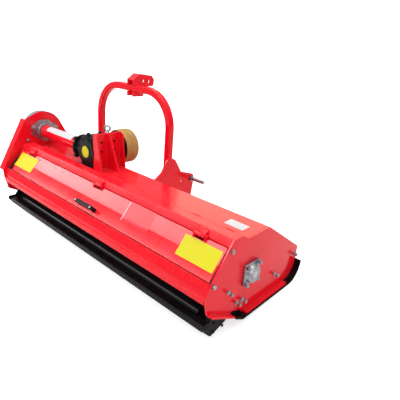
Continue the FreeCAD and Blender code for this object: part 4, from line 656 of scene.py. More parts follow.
class MOWER_OT_finishes(bpy.types.Operator):
    """Makes every finish and puts it on the nodes that keep their own shape"""
    bl_idname = "mower.finishes"
    bl_label = "Finishes"

    def execute(self, context):
        colours = context.scene.mower_colours
        make_paint_group()
        make_wear_group()
        make_dust_group()
        painted("red_paint", tuple(colours.red), 0.13)
        painted("rotor_paint", tuple(colours.red), 0.22)
        painted("black_paint", tuple(colours.black), 0.17, worn=(0.06, 0.06, 0.065), wear=0.4, dust=0.01,
                specular=0.10, shade=0.7, ripple=0.04)
        painted("grey_paint", tuple(colours.grey), 0.30, worn=(0.62, 0.64, 0.66), shade=0.9)
        cast("cast_black", tuple(colours.casting), 0.34)
        bare_metal("zinc", tuple(colours.zinc), 0.34)
        bare_metal("steel", tuple(colours.steel), 0.28, grain=300.0, stretch=(0.05, 1.0, 1.0))
        cast("forged", tuple(colours.forged), 0.5, grain=160.0, strength=0.6)
        moulded("gold_plastic", tuple(colours.gold), 0.42)
        moulded("black_plastic", tuple(colours.moulded), 0.34, lift=1.6)
        moulded("belt_rubber", tuple(colours.rubber), 0.62, grain=500.0, strength=0.3)
        sheeting("label_yellow", tuple(colours.label_yellow), 0.35)
        sheeting("label_white", tuple(colours.label_white), 0.34, cell=0.02, strength=0.02)
        sheeting("label_clear", tuple(colours.label_clear), 0.12, cell=0.05, strength=0.02)
        for finish, names in NODE_FINISHES.items():
            for name in names:
                for slot in frame["nodes"][name].material_slots:
                    slot.link = "OBJECT"
                    slot.material = finishes[finish]
        return {"FINISHED"}


class MOWER_OT_sheet_metal(bpy.types.Operator):
    """Gives the deck's plates, skids, brackets and castings the rounded edges of their real material"""
    bl_idname = "mower.sheet_metal"
    bl_label = "Sheet metal"

    def execute(self, context):
        for finish, segments, edges in ROUNDED_NODES:
            for name, edge in edges.items():
                rounded_copy(name, edge, finish, segments=segments)
        return {"FINISHED"}


class MOWER_OT_door(bpy.types.Operator):
    """Cuts the rear door's hinge notches and adds its hinges, handle and spot welds"""
    bl_idname = "mower.door"
    bl_label = "Rear door"

    def execute(self, context):
        sizes = context.scene.mower_sizes
        cutters = []
        for place in HINGE_PLACES:
            cutter = box_piece((-0.028, -0.020, -0.012), (0.028, 0.012, 0.012))
            cutter.data.transform(STANCE @ on_door(place + HINGE_SHIFT, DOOR_TOP, DOOR_CREASE))
            cutters.append(cutter)
        rounded_copy("rear_door", 1.2, "red_paint", notch=cutters, smooth=4)
        self.add_hinges()
        self.add_handle(sizes)
        spots = [on_door(across, (-143.0, 361.1), DOOR_CREASE, 0.1)
                 for across in (-603.0, -517.0, -420.0, -335.0, -250.0, -190.0)]
        marks = copies(turned([(0.0, 0.0060), (0.0005, 0.0052), (0.0004, 0.0030), (0.0002, 0.0010)], 16), spots)
        settle(marks, "door_spot_welds", "rear_door", "red_paint", STANCE)
        return {"FINISHED"}

    def add_hinges(self):
        heel = Vector(DOOR_TOP)
        pin = Vector(HINGE_PIN)
        rise = Vector((20.0, 30.0)).normalized()
        beam_out = Vector((-rise.y, rise.x))
        down = (Vector(DOOR_CREASE) - heel).normalized()
        door_out = Vector((down.y, -down.x))
        between = (beam_out + door_out + down * 0.1).normalized()
        strap = [heel + rise * 27 + beam_out * 0.5, heel + rise * 27 + beam_out * 6,
                 pin + beam_out * 8.6 + rise * 6, pin + between * 8.9, pin + door_out * 8.6 + down * 5,
                 pin + door_out * 8.0 + down * 13, pin + door_out * 2.5 + down * 13, pin + down * 7.5,
                 pin - beam_out * 7.2, heel + rise * 12 + beam_out * 0.5]
        straps = []
        lugs = []
        for place in HINGE_PLACES:
            middle = place + HINGE_SHIFT
            straps.append(soften(side_strip(strap, HINGE_STRAP_WIDTH, middle), 0.0014))
            lug = [heel + down * 24 + door_out * 0.3, heel + down * 22 + door_out * 5, pin + door_out * 6.5 + down * 4,
                   pin + between * 7.0, pin + rise * 7.0, pin - beam_out * 6.5, heel + down * 5 + door_out * 0.3]
            for side in (-1, 1):
                lugs.append(soften(side_strip(lug, 7.0, middle + side * HINGE_LUG_OFFSET), 0.0010))
        settle(join(straps), "hinge_straps", "deck", "red_paint", STANCE)
        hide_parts("beam_hinges")
        settle(join(lugs), "hinge_lugs", "rear_door", "red_paint", STANCE)
        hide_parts("door_hinges")

    def add_handle(self, sizes):
        half = sizes.handle_length / 2 / MM
        stand = sizes.handle_stand / MM
        width = sizes.handle_width / MM
        outline = [(-half, -width / 2, 0.4), (-half + 19, -width / 2, 0.4), (-half + 25, -width / 2, stand - 13),
                   (half - 25, -width / 2, stand - 13), (half - 19, -width / 2, 0.4), (half, -width / 2, 0.4),
                   (half, -width / 2, stand - 8), (half - 8, -width / 2, stand), (-half + 8, -width / 2, stand),
                   (-half, -width / 2, stand - 8)]
        handle = soften(drawn_out(outline, (0.0, width, 0.0)), 0.0038, segments=4, angle=25)
        along = (Vector(DOOR_FOOT) - Vector(DOOR_CREASE)).normalized()
        point = tuple(Vector(DOOR_CREASE) + along * HANDLE_DROP)
        place = on_door(HANDLE_ACROSS, point, DOOR_FOOT)
        settle(handle, "door_handle_finished", "rear_door", "black_plastic", STANCE @ place, smooth=50)
        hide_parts("door_handle")
        head = turned([(0.0, 0.0062), (0.0022, 0.0058), (0.0030, 0.0040), (0.0020, 0.0034)], 16)
        heads = copies(head, [place @ at(side * (half - 11), 0.0, stand - 0.3) for side in (-1, 1)])
        settle(heads, "door_handle_screws", "rear_door", "zinc", STANCE)


class MOWER_OT_fasteners(bpy.types.Operator):
    """Adds the studs, bolts, nuts and washers of the deck"""
    bl_idname = "mower.fasteners"
    bl_label = "Fasteners"

    def execute(self, context):
        sizes = context.scene.mower_sizes
        bolts = [aimed((HALF_WIDTH + 0.3, -118.0, 363.0), (1, 0, 0)),
                 aimed((0.3 - INNER_HALF, -86.0, 424.0), (1, 0, 0))]
        bolts += [aimed((-859.7, front, up), (1, 0, 0))
                  for front, up in ((-44.0, 506.0), (102.0, 495.0), (74.0, 414.0))]
        slope = (0.0, 206.0, 322.0)
        bolts += [aimed((across, 232.0, 337.0), slope) for across in (40.0, -598.0)]
        nuts, studs, caps, short = [], [], [], []
        dark = [aimed((-191.9, front, up), (1, 0, 0)) for front in (22.0, 108.0) for up in (546.0, 492.0)]
        for side in (1, -1):
            out = (side, 0, 0)
            face = side * (HALF_WIDTH + 0.3)
            bolts.append(aimed((face, -215.0, 243.0), out))
            nuts.append(aimed((side * (INNER_HALF - 0.3), -215.0, 243.0), (-side, 0, 0)))
            studs += [aimed((face, front, up), out) for front, up in STUD_PLACES]
            dark += [aimed((side * (INNER_HALF + 0.3), -143.0 + back * 29.0, 22.5 + up * 22.0), out)
                     for back in (1, -1) for up in (1, -1)]
            caps += [at(side * (HALF_WIDTH + 15.0), front, 8.0) for front in (380.0, -3.0)]
            seat = 888.6 if side > 0 else -853.4
            short += [aimed((seat, ROTOR_FRONT + across, ROTOR_HEIGHT + up), (1, 0, 0))
                      for across in (BEARING_BOLT_HALF, -BEARING_BOLT_HALF)
                      for up in (BEARING_BOLT_HALF, -BEARING_BOLT_HALF)]
        bright = [copies(self.bolt(sizes), bolts), copies(self.nut(sizes, 0.0), nuts),
                  copies(self.stud(sizes, sizes.stud_stand, 0.0022), studs),
                  copies(self.stud(sizes, 0.018, 0.0045), short)]
        piece = settle(join(bright), "bright_fasteners", "deck", "zinc", STANCE, smooth=30)
        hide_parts("deck_bolts")
        black = [copies(turned([(0.0, 0.0068), (0.0040, 0.0068), (0.0048, 0.0058), (0.0046, 0.0040)], 6), dark),
                 copies(turned([(0.0, 0.008), (0.002, 0.0078), (0.0045, 0.006), (0.0058, 0.003)], 20), caps)]
        settle(join(black), "dark_fasteners", "deck", "black_paint", STANCE, smooth=30)
        return {"FINISHED"}

    def washer(self, sizes):
        return turned([(0.0, sizes.washer_radius), (sizes.washer_height, sizes.washer_radius)], 24)

    def bolt(self, sizes):
        """A hexagon head on its washer, with the chamfer and the raised face."""
        foot = sizes.washer_height
        top = foot + sizes.head_height
        radius = sizes.nut_radius
        head = turned([(foot, radius * 0.94), (foot + 0.0006, radius), (top, radius),
                       (top + 0.0012, radius * 0.86), (top + 0.0009, radius * 0.60)], 6)
        return join([self.washer(sizes), head])

    def nut(self, sizes, foot):
        """A nut with its chamfers and the end of the thread showing in it."""
        top = foot + sizes.nut_height
        radius = sizes.nut_radius
        return turned([(foot, radius * 0.9), (foot + 0.0012, radius), (top - 0.0012, radius), (top, radius * 0.88),
                       (top, radius * 0.64), (top - 0.0015, radius * 0.58)], 6)

    def stud(self, sizes, stand, room):
        """A threaded stud through its washer, with a nut this far below its end."""
        radius = sizes.bolt_radius
        sections = [(0.0, radius)]
        height = sizes.washer_height
        while height < stand - 0.0015:
            sections += [(height, radius * 0.87), (height + sizes.thread_pitch / 2, radius)]
            height += sizes.thread_pitch
        sections += [(stand - 0.0010, radius * 0.97), (stand, radius * 0.80)]
        return join([self.washer(sizes), turned(sections, 12),
                     self.nut(sizes, stand - room - sizes.nut_height)])


class MOWER_OT_rotor_bearing(bpy.types.Operator):
    """Models the flange bearing at the rotor's right end"""
    bl_idname = "mower.rotor_bearing"
    bl_label = "Rotor bearing"

    def execute(self, context):
        plate = box_piece((-0.054, -0.054, 0.0), (0.054, 0.054, 0.013))
        edit(plate)
        pick("edges", lambda middle, way: abs(way.z) > 0.01)
        bpy.ops.mesh.bevel(offset=0.015, segments=6, affect="EDGES")
        leave_edit()
        soften(plate, 0.0018, segments=2)
        dome = turned([(0.012, 0.0475), (0.0145, 0.0455), (0.0235, 0.0425), (0.0285, 0.0400), (0.0305, 0.0375),
                       (0.0305, 0.0335), (0.0285, 0.0325), (0.0285, 0.0255), (0.0300, 0.0245), (0.0306, 0.0225),
                       (0.0306, 0.0152), (0.0250, 0.0152)], 48)
        nipple = turned([(0.0, 0.0045), (0.005, 0.0045), (0.006, 0.0028), (0.009, 0.0028), (0.0105, 0.0036),
                         (0.0125, 0.0024)], 6)
        nipple.data.transform(aimed((18.0, 34.0, 20.0), (0.45, 0.80, 0.35)))
        boss = turned([(0.0, 0.0085), (0.014, 0.0075), (0.016, 0.0062)], 20)
        boss.data.transform(aimed((17.0, 31.0, 12.0), (0.1, 0.2, 1.0)))
        ribs = []
        for quarter in range(4):
            rib = box_piece((0.030, -0.005, 0.010), (0.062, 0.005, 0.017), edge=0.0015)
            rib.data.transform(Matrix.Rotation(math.radians(45 + 90 * quarter), 4, "Z"))
            ribs.append(rib)
        housing = join([plate, dome, nipple, boss] + ribs)
        place = aimed((HALF_WIDTH + 0.3, ROTOR_FRONT, ROTOR_HEIGHT), (1, 0, 0))
        settle(housing, "right_rotor_bearing_finished", "deck", "zinc", STANCE @ place, smooth=32)
        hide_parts("right_rotor_bearing")
        return {"FINISHED"}


class MOWER_OT_drive(bpy.types.Operator):
    """Models the gearbox and its drive: casting, covers, eye, guard tube, sleeve, splined shaft and bearing ring"""
    bl_idname = "mower.drive"
    bl_label = "Drive"

    def execute(self, context):
        axis = at(INPUT_ACROSS, 0.0, DRIVE_HEIGHT) @ Matrix.Rotation(math.radians(-90), 4, "X")
        self.add_casting()
        self.add_cap_and_screws()
        self.add_eye()
        tube = turned([(0.0, 0.0380), (0.0, 0.0410), (0.4465, 0.0410), (0.4470, 0.0570), (0.4490, 0.0580),
                       (0.4540, 0.0580), (0.4545, 0.0570), (0.4545, 0.0380)], 64, through=True)
        settle(tube, "shaft_guard_tube_finished", "deck", "red_paint",
               STANCE @ aimed((-860.0, DRIVE_FRONT, DRIVE_HEIGHT), (1, 0, 0)), smooth=30)
        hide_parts("shaft_guard_tube")
        sleeve = turned([(0.1963, 0.0965), (0.1963, 0.1030), (0.1990, 0.1050), (0.2325, 0.1050), (0.2332, 0.1030),
                         (0.2368, 0.1030), (0.2375, 0.1050), (0.2765, 0.1050), (0.2785, 0.1038), (0.2840, 0.1030),
                         (0.2840, 0.0990), (0.2790, 0.1000), (0.2010, 0.1000), (0.2010, 0.0965)], 72, through=True)
        settle(sleeve, "guard_sleeve_finished", "deck", "gold_plastic", STANCE @ axis, smooth=25)
        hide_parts("guard_sleeve")
        self.add_input_shaft(axis)
        ring = turned([(0.0, 0.0415), (0.0, 0.0530), (0.0010, 0.0545), (0.0030, 0.0545), (0.0045, 0.0520),
                       (0.0045, 0.0415)], 56, through=True)
        ring.data.transform(aimed((-847.6, DRIVE_FRONT, DRIVE_HEIGHT), (1, 0, 0)))
        settle(ring, "upper_bearing_ring", "deck", "zinc", STANCE, smooth=30)
        return {"FINISHED"}

    def add_casting(self):
        """The gearbox casting: the block, the round neck and its flange with ribs and bolt lugs."""
        block = box_piece((-0.334, -0.020, 0.392), (-0.2063, 0.150, 0.568))
        edit(block)
        pick("edges", lambda middle, way: abs(way.y) > 0.1 and not (middle.x > -0.25 and middle.z < 0.45))
        bpy.ops.mesh.bevel(offset=0.022, segments=6, affect="EDGES")
        leave_edit()
        soften(block, 0.0030, segments=3)
        neck = turned([(0.0, 0.0600), (0.010, 0.0540), (0.020, 0.0520), (0.056, 0.0520), (0.060, 0.0550),
                       (0.0615, 0.0690), (0.0630, 0.0705), (0.0735, 0.0705), (0.0750, 0.0690), (0.0750, 0.0400)], 64)
        neck.data.transform(aimed((OUTPUT_FACE + 74.5, DRIVE_FRONT, DRIVE_HEIGHT), (-1, 0, 0)))
        lug = turned([(0.0, 0.0118), (0.0008, 0.0128), (0.0172, 0.0128), (0.0180, 0.0118)], 24)
        lugs = []
        ribs = []
        for quarter in range(4):
            angle = math.radians(45 + 90 * quarter)
            lugs.append(aimed((OUTPUT_FACE - 0.5, DRIVE_FRONT + LUG_RING * math.cos(angle),
                               DRIVE_HEIGHT + LUG_RING * math.sin(angle)), (1, 0, 0)))
            rib = drawn_out([(OUTPUT_FACE + 12, -4.0, 48.0), (OUTPUT_FACE + 70, -4.0, 48.0),
                             (OUTPUT_FACE + 66, -4.0, 54.0), (OUTPUT_FACE + 12, -4.0, 67.0)], (0.0, 8.0, 0.0))
            rib.data.transform(at(0.0, DRIVE_FRONT, DRIVE_HEIGHT) @ Matrix.Rotation(angle - math.pi / 4, 4, "X"))
            ribs.append(soften(rib, 0.0012))
        feet = [box_piece((-0.349, (front - 10.0) * MM, 0.3845), (-0.322, (front + 10.0) * MM, 0.436), edge=0.004)
                for front in (4.0, 122.0)]
        step = box_piece((-0.330, -0.0245, 0.3845), (-0.212, -0.016, 0.424), edge=0.0025)
        hub = turned([(0.0, 0.0560), (0.004, 0.0560), (0.006, 0.0530), (0.006, 0.0300)], 48)
        hub.data.transform(aimed((INPUT_ACROSS, 146.0, DRIVE_HEIGHT), (0, 1, 0)))
        eye_boss = turned([(0.0, 0.019), (0.006, 0.018), (0.008, 0.015)], 28)
        eye_boss.data.transform(at(INPUT_ACROSS, 124.0, 566.0))
        casting = join([block, neck, copies(lug, lugs), step, hub, eye_boss] + ribs + feet)
        settle(casting, "gearbox_housing_finished", "deck", "cast_black", STANCE, smooth=35)
        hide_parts("gearbox_housing")

    def add_cap_and_screws(self):
        """The round rear cover with its stepped rims, and the screws that hold the covers."""
        cap = turned([(0.0, 0.0780), (0.0065, 0.0780), (0.0080, 0.0765), (0.0080, 0.0600), (0.0095, 0.0580),
                      (0.0095, 0.0480), (0.0115, 0.0465), (0.0115, 0.0385), (0.0095, 0.0360)], 72)
        cap.data.transform(aimed((INPUT_ACROSS, -20.0, DRIVE_HEIGHT), (0, -1, 0)))
        settle(cap, "gearbox_rear_cap_finished", "deck", "cast_black", STANCE, smooth=30)
        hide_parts("gearbox_rear_cap")
        places = []
        for number in range(8):
            angle = math.radians(45 * number + 22.5)
            places.append(aimed((INPUT_ACROSS + CAP_SCREW_RING * math.cos(angle), -28.0,
                                 DRIVE_HEIGHT + CAP_SCREW_RING * math.sin(angle)), (0, -1, 0)))
            places.append(aimed((OUTPUT_FACE + 13.5, DRIVE_FRONT + OUTPUT_SCREW_RING * math.cos(angle),
                                 DRIVE_HEIGHT + OUTPUT_SCREW_RING * math.sin(angle)), (1, 0, 0)))
        screw = turned([(0.0, 0.0056), (0.0036, 0.0056), (0.0044, 0.0048), (0.0042, 0.0030)], 6)
        plug = join([turned([(0.0, 0.014), (0.009, 0.014), (0.0098, 0.0128)], 24),
                     turned([(0.0095, 0.0108), (0.0170, 0.0108), (0.0180, 0.0094)], 6)])
        plugs = copies(plug, [at(INPUT_ACROSS, front, 568.2) for front in (-6.0, 72.0)])
        screws = join([copies(screw, places), plugs])
        settle(screws, "gearbox_screws_finished", "deck", "cast_black", STANCE, smooth=30)
        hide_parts("gearbox_screws")

    def add_eye(self):
        """The lifting eye, turned as its thread left it."""
        drop_selection()
        bpy.ops.mesh.primitive_torus_add(major_segments=48, minor_segments=16, major_radius=0.0160,
                                         minor_radius=0.0052)
        ring = bpy.context.object
        ring.data.transform(at(0.0, 0.0, 600.0) @ Matrix.Rotation(math.radians(90), 4, "X"))
        shank = turned([(0.568, 0.0130), (0.5725, 0.0130), (0.5740, 0.0115), (0.5780, 0.0075), (0.5860, 0.0062)], 28)
        eye = join([ring, shank])
        eye.data.transform(Matrix.Rotation(math.radians(40), 4, "Z"))
        settle(eye, "lifting_eye_finished", "deck", "zinc", STANCE @ at(INPUT_ACROSS, 124.0, 0.0), smooth=60)
        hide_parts("lifting_eye")

    def add_input_shaft(self, axis):
        shaft = turned([(0.1503, 0.0190), (0.1680, 0.0190), (0.1700, 0.0174), (0.1702, 0.0174), (0.2480, 0.0174),
                        (0.2490, 0.0160), (0.2550, 0.0160), (0.2560, 0.0174), (0.2740, 0.0174), (0.2758, 0.0150),
                        (0.2758, 0.0050), (0.2740, 0.0030)], 36)
        edit(shaft)

        def in_groove(point, normal):
            turn = math.degrees(math.atan2(point.y, point.x)) % 60.0
            return 0.1701 < point.z < 0.2750 and math.hypot(point.x, point.y) > 0.0165 and turn < 25.0
        pick("verts", in_groove)
        bpy.ops.transform.resize(value=(0.86, 0.86, 1.0))
        leave_edit()
        settle(shaft, "input_shaft_finished", "input_shaft", "steel", STANCE @ axis, smooth=25)
        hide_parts("input_shaft")


class MOWER_OT_seals(bpy.types.Operator):
    """Closes the door's gaps with dark rubber strips that stand in for the shade inside them, and the scraper's ends
    and the plates' feet with black plates
    """
    bl_idname = "mower.seals"
    bl_label = "Seals and ends"

    def execute(self, context):
        # Painted shade: dark strips behind the door's foot and sides fill its gaps, so they read dark as shade instead
        # of letting light through.
        foot_gap_shade = side_strip([(-226.2, 256.0), (-221.6, 263.8), (-219.2, 262.4), (-224.0, 253.0), (-228.2, 244.0),
                           (-230.6, 245.2)], 1733.0)
        heel, crease, foot = Vector(DOOR_TOP), Vector(DOOR_CREASE), Vector(DOOR_FOOT)
        upper = (crease - heel).normalized()
        lower = (foot - crease).normalized()
        inward = [Vector((-upper.y, upper.x)), Vector((-lower.y, lower.x))]
        middle = (inward[0] + inward[1]).normalized()
        line = ((heel + upper * 5, inward[0]), (crease, middle), (foot, inward[1]))
        outline = [point + way * 4.7 for point, way in line] + [point + way * 7.5 for point, way in line[::-1]]
        seals = [foot_gap_shade] + [side_strip(outline, 16.0, side * 858.8) for side in (1, -1)]
        settle(join(seals), "door_seals", "deck", "belt_rubber", STANCE)
        ends = [(-248.0, 60.0), (-242.0, 66.0), (-202.0, 67.0), (-186.0, 90.0), (-176.0, 60.0), (-205.0, 2.0),
                (-226.0, 20.0), (-247.0, 46.0)]
        plates = [soften(side_strip(ends, 8.6, side * 862.2), 0.0022, segments=3) for side in (1, -1)]
        gusset = [(-83.0, 70.0), (27.0, 30.0), (30.0, 8.0), (-36.0, 6.0)]
        plates += [side_strip(gusset, 4.0, side * 863.0) for side in (1, -1)]
        settle(join(plates), "scraper_ends", "deck", "black_paint", STANCE)
        return {"FINISHED"}


class MOWER_OT_labels(bpy.types.Operator):
    """Sticks on the bare labels: two yellow plates, white films and the gearbox's yellow disc"""
    bl_idname = "mower.labels"
    bl_label = "Labels"

    def execute(self, context):
        film = context.scene.mower_sizes.label_film / MM
        for name, (low, high) in YELLOW_LABELS.items():
            upper = self.on_line(DOOR_CREASE, DOOR_TOP, 57.0)
            lower = self.on_line(DOOR_CREASE, DOOR_FOOT, 38.0)
            label = self.folded((upper, DOOR_CREASE, lower), low, high, film)
            settle(label, f"{name}_yellow_label", "rear_door", "label_yellow", STANCE)
        upper = self.on_line(DOOR_CREASE, DOOR_TOP, 78.0)
        lower = self.on_line(DOOR_CREASE, DOOR_FOOT, 25.0)
        edge_start, clear_start, clear_end = DOOR_FILM
        clear = self.folded((upper, DOOR_CREASE, lower), clear_start, clear_end, film * 0.6)
        settle(clear, "door_film", "rear_door", "label_clear", STANCE)
        edge = self.folded((upper, DOOR_CREASE, lower), edge_start, clear_start, film)
        settle(edge, "door_film_edge", "rear_door", "label_white", STANCE)
        white = drawn_out([(across, front, PANEL_TOP + 0.1) for across, front in PANEL_LABEL], (0.0, 0.0, film))
        self.round_corners(white, 0.003)
        settle(white, "panel_label", "deck", "label_white", STANCE)
        disc = turned([(0.0, 0.034), (film * MM, 0.034)], 48)
        place = aimed((INPUT_ACROSS, -29.45, DRIVE_HEIGHT), (0, -1, 0))
        settle(disc, "gearbox_disc", "deck", "label_yellow", STANCE @ place)
        self.add_tube_film(film)
        return {"FINISHED"}

    def on_line(self, start, end, distance):
        start = Vector(start)
        return tuple(start + (Vector(end) - start).normalized() * distance)

    def folded(self, points, low, high, film):
        """A thin label that follows the door over its crease."""
        points = [Vector(point) for point in points]
        outs = []
        for first, second in zip(points, points[1:]):
            down = (second - first).normalized()
            outs.append(Vector((down.y, -down.x)))
        normals = [outs[0], (outs[0] + outs[1]).normalized(), outs[1]]
        inner = [point + normal * FILM_LIFT for point, normal in zip(points, normals)]
        outer = [point + normal * (FILM_LIFT + film) for point, normal in zip(points, normals)]
        label = side_strip(inner + outer[::-1], high - low, (low + high) / 2)
        self.round_corners(label, 0.004)
        return label

    def round_corners(self, label, radius):
        edit(label)
        corners = [Vector(corner) for corner in label.bound_box]
        low, high = corners[0].x, corners[6].x
        heights = sorted(vertex.co.y for vertex in label.data.vertices)

        def at_corner(middle, way):
            at_side = min(abs(middle.x - low), abs(middle.x - high)) < 1e-6
            at_end = min(middle.y - heights[0], heights[-1] - middle.y) < 0.001
            return at_side and at_end and way.length < 0.001
        pick("edges", at_corner)
        bpy.ops.mesh.bevel(offset=radius, segments=4, affect="EDGES")
        leave_edit()

    def add_tube_film(self, film):
        """The white film round the top of the cross shaft's guard tube."""
        start, end = TUBE_FILM
        inner = TUBE_RADIUS + FILM_LIFT
        strip = drawn_out([(start, 0.0, inner), (end, 0.0, inner), (end, 0.0, inner + film),
                           (start, 0.0, inner + film)], (0.0, 0.01, 0.0))
        edit(strip)
        pick("faces", lambda middle, normal: abs(middle.y) < 1e-6 and abs(normal.y) > 0.9)
        bpy.ops.mesh.select_all(action="INVERT")
        bpy.ops.mesh.delete(type="FACE")
        bpy.ops.mesh.select_all(action="SELECT")
        bpy.ops.mesh.spin(steps=20, angle=math.radians(66), center=(0.0, 0.0, 0.0), axis=(1.0, 0.0, 0.0))
        bpy.ops.mesh.select_all(action="SELECT")
        bpy.ops.mesh.normals_make_consistent(inside=False)
        leave_edit()
        strip.data.transform(Matrix.Rotation(math.radians(60), 4, "X"))
        settle(strip, "tube_film", "deck", "label_white", STANCE @ at(0.0, DRIVE_FRONT, DRIVE_HEIGHT))


class MOWER_OT_welds(bpy.types.Operator):
    """Runs the weld beads of the bracket, hitch plates and crossbeam"""
    bl_idname = "mower.welds"
    bl_label = "Welds"

    def execute(self, context):
        sizes = context.scene.mower_sizes
        seams = [((-191.5, -6.0, PANEL_TOP + 0.5), (-191.5, 184.0, PANEL_TOP + 0.5))]
        for front, reach in ((60.0, 125.0), (150.0, 60.0)):
            for edge in (front, front + 10.0):
                seams.append(((-190.0, edge, PANEL_TOP + 0.5), (reach - 208.0, edge, PANEL_TOP + 0.5)))
                seams.append(((-191.5, edge, PANEL_TOP + 2.0), (-191.5, edge, 575.0)))
        for across in (85.2, 72.2, -643.2, -630.2):
            seams.append(((across, 200.0, self.slope_height(200.0)), (across, 466.0, self.slope_height(466.0))))
        for across in (-250.0, -310.0):
            seams.append(((across, 297.0, 852.5), (across, 333.0, 852.5)))
        for number in range(9):
            start = -800.0 + number * 195.0
            seams.append(((start, -8.0, PANEL_TOP + 0.6), (start + 45.0, -8.0, PANEL_TOP + 0.6)))
        settle(weld(seams, sizes), "weld_beads", "deck", "red_paint", STANCE, smooth=60)
        return {"FINISHED"}

    def slope_height(self, front):
        return PANEL_TOP + 1.0 - (front - 158.0) * 206.0 / 322.0


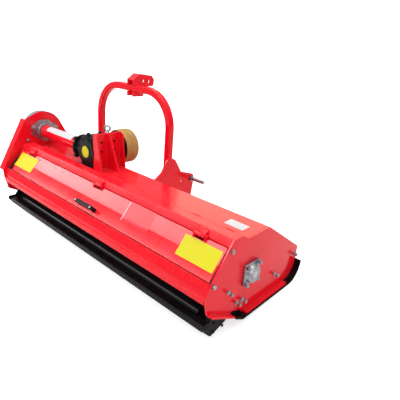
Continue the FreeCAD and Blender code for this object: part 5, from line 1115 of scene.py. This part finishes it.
class MOWER_OT_stage(bpy.types.Operator):
    """Sets up the camera, the pale floor and the soft studio lamps"""
    bl_idname = "mower.stage"
    bl_label = "Stage"

    def execute(self, context):
        levels = context.scene.mower_stage
        scene = context.scene
        scene.view_settings.view_transform = "Standard"
        self.add_camera(scene)
        self.add_floor()
        self.add_world(scene, levels)
        self.add_lamp("overhead", (0.2, -0.2, 4.6), (0.0, 0.0, 0.3), (4.5, 3.6), levels.key)
        self.add_lamp("camera_side", (4.6, -2.6, 2.3), (0.3, -0.1, 0.25), (2.4, 2.0), levels.fill)
        self.add_lamp("behind", (-3.65, -2.65, 2.58), (-3.65, 0.0, 0.35), (5.8, 0.46), levels.strip)
        self.add_lamp("beyond", (-1.4, 4.2, 2.6), (0.4, 0.0, 0.4), (3.4, 1.4), levels.front, (1.0, 0.74, 0.52))
        return {"FINISHED"}

    def add_camera(self, scene):
        azimuth, elevation, roll = (math.radians(angle) for angle in CAMERA_ANGLES)
        ahead = Vector((-math.sin(azimuth) * math.cos(elevation), math.cos(azimuth) * math.cos(elevation),
                        -math.sin(elevation)))
        level = Vector((math.cos(azimuth), math.sin(azimuth), 0.0))
        upright = level.cross(ahead)
        right = math.cos(roll) * level + math.sin(roll) * upright
        above = math.cos(roll) * upright - math.sin(roll) * level
        place = Matrix((right, above, -ahead)).transposed().to_4x4()
        place.translation = Vector(CAMERA_PLACE)
        data = bpy.data.cameras.new("photo_camera")
        data.lens = CAMERA_LENS
        data.sensor_width = SENSOR_WIDTH
        data.shift_x, data.shift_y = CAMERA_SHIFT
        data.clip_start = 0.05
        camera = bpy.data.objects.new("photo_camera", data)
        camera.matrix_world = STANCE @ place
        scene.collection.objects.link(camera)
        scene.camera = camera

    def add_floor(self):
        bpy.ops.mesh.primitive_plane_add(size=80.0, location=(0.0, 0.0, 0.0))
        floor = bpy.context.object
        floor.name = "floor"
        material = bpy.data.materials.new("pale_floor")
        material.use_nodes = True
        tree = material.node_tree
        shader = tree.nodes["Principled BSDF"]
        shader.inputs["Base Color"].default_value = (0.80, 0.80, 0.80, 1.0)
        shader.inputs["Roughness"].default_value = 0.95
        shader.inputs["Specular IOR Level"].default_value = 0.0
        shader.inputs["Emission Color"].default_value = (1.0, 1.0, 1.0, 1.0)
        path = tree.nodes.new("ShaderNodeLightPath")
        glow = maths(tree, "MULTIPLY", path.outputs["Is Camera Ray"], FLOOR_GLOW)
        tree.links.new(glow, shader.inputs["Emission Strength"])
        floor.data.materials.append(material)

    def add_world(self, scene, levels):
        world = bpy.data.worlds.new("studio")
        world.use_nodes = True
        scene.world = world
        tree = world.node_tree
        background = tree.nodes["Background"]
        background.inputs["Color"].default_value = (1.0, 1.0, 1.0, 1.0)
        direction = tree.nodes.new("ShaderNodeTexCoord").outputs["Generated"]
        up = node(tree, "ShaderNodeSeparateXYZ", {0: direction}).outputs["Z"]
        light = ramp(tree, up, 0.15, 0.75, levels.sky_low, levels.sky_high)
        path = tree.nodes.new("ShaderNodeLightPath")
        strength = maths(tree, "MAXIMUM", light, path.outputs["Is Camera Ray"])
        tree.links.new(strength, background.inputs["Strength"])

    def add_lamp(self, name, place, target, size, power, colour=(1.0, 1.0, 1.0)):
        """An area lamp whose long side lies level, placed from the deck."""
        data = bpy.data.lights.new(name, "AREA")
        data.shape = "RECTANGLE"
        data.size, data.size_y = size
        data.energy = power
        data.color = colour
        lamp = bpy.data.objects.new(name, data)
        bpy.context.scene.collection.objects.link(lamp)
        ahead = (Vector(target) - Vector(place)).normalized()
        level = ahead.cross(Vector((0.0, 0.0, 1.0)))
        if level.length < 0.01:
            level = Vector((1.0, 0.0, 0.0))
        level.normalize()
        turn = Matrix((level, level.cross(ahead), -ahead)).transposed().to_4x4()
        lamp.matrix_world = STANCE @ Matrix.Translation(place) @ turn


class MOWER_PT_panel(bpy.types.Panel):
    """Lists the mower's steps"""
    bl_idname = "MOWER_PT_panel"
    bl_label = "Flail mower"
    bl_space_type = "VIEW_3D"
    bl_region_type = "UI"
    bl_category = "Mower"

    def draw(self, context):
        for step in STEPS:
            self.layout.operator(step.bl_idname)


STEPS = (MOWER_OT_finishes, MOWER_OT_stage, MOWER_OT_sheet_metal, MOWER_OT_door, MOWER_OT_fasteners,
         MOWER_OT_rotor_bearing, MOWER_OT_drive, MOWER_OT_seals, MOWER_OT_labels, MOWER_OT_welds)
GROUPS = {"mower_colours": MowerColours, "mower_sizes": MowerSizes, "mower_stage": MowerStage}


def register():
    for group in GROUPS.values():
        bpy.utils.register_class(group)
    for step in STEPS:
        bpy.utils.register_class(step)
    bpy.utils.register_class(MOWER_PT_panel)
    for name, group in GROUPS.items():
        setattr(bpy.types.Scene, name, bpy.props.PointerProperty(type=group))


def unregister():
    for name in GROUPS:
        delattr(bpy.types.Scene, name)
    bpy.utils.unregister_class(MOWER_PT_panel)
    for step in reversed(STEPS):
        bpy.utils.unregister_class(step)
    for group in reversed(list(GROUPS.values())):
        bpy.utils.unregister_class(group)


def main():
    register()
    bpy.ops.mower.finishes()
    bpy.ops.mower.stage()
    bpy.ops.mower.sheet_metal()
    bpy.ops.mower.door()
    bpy.ops.mower.fasteners()
    bpy.ops.mower.rotor_bearing()
    bpy.ops.mower.drive()
    bpy.ops.mower.seals()
    bpy.ops.mower.labels()
    bpy.ops.mower.welds()
    bpy.context.view_layer.update()


if __name__ == "__main__":
    main()
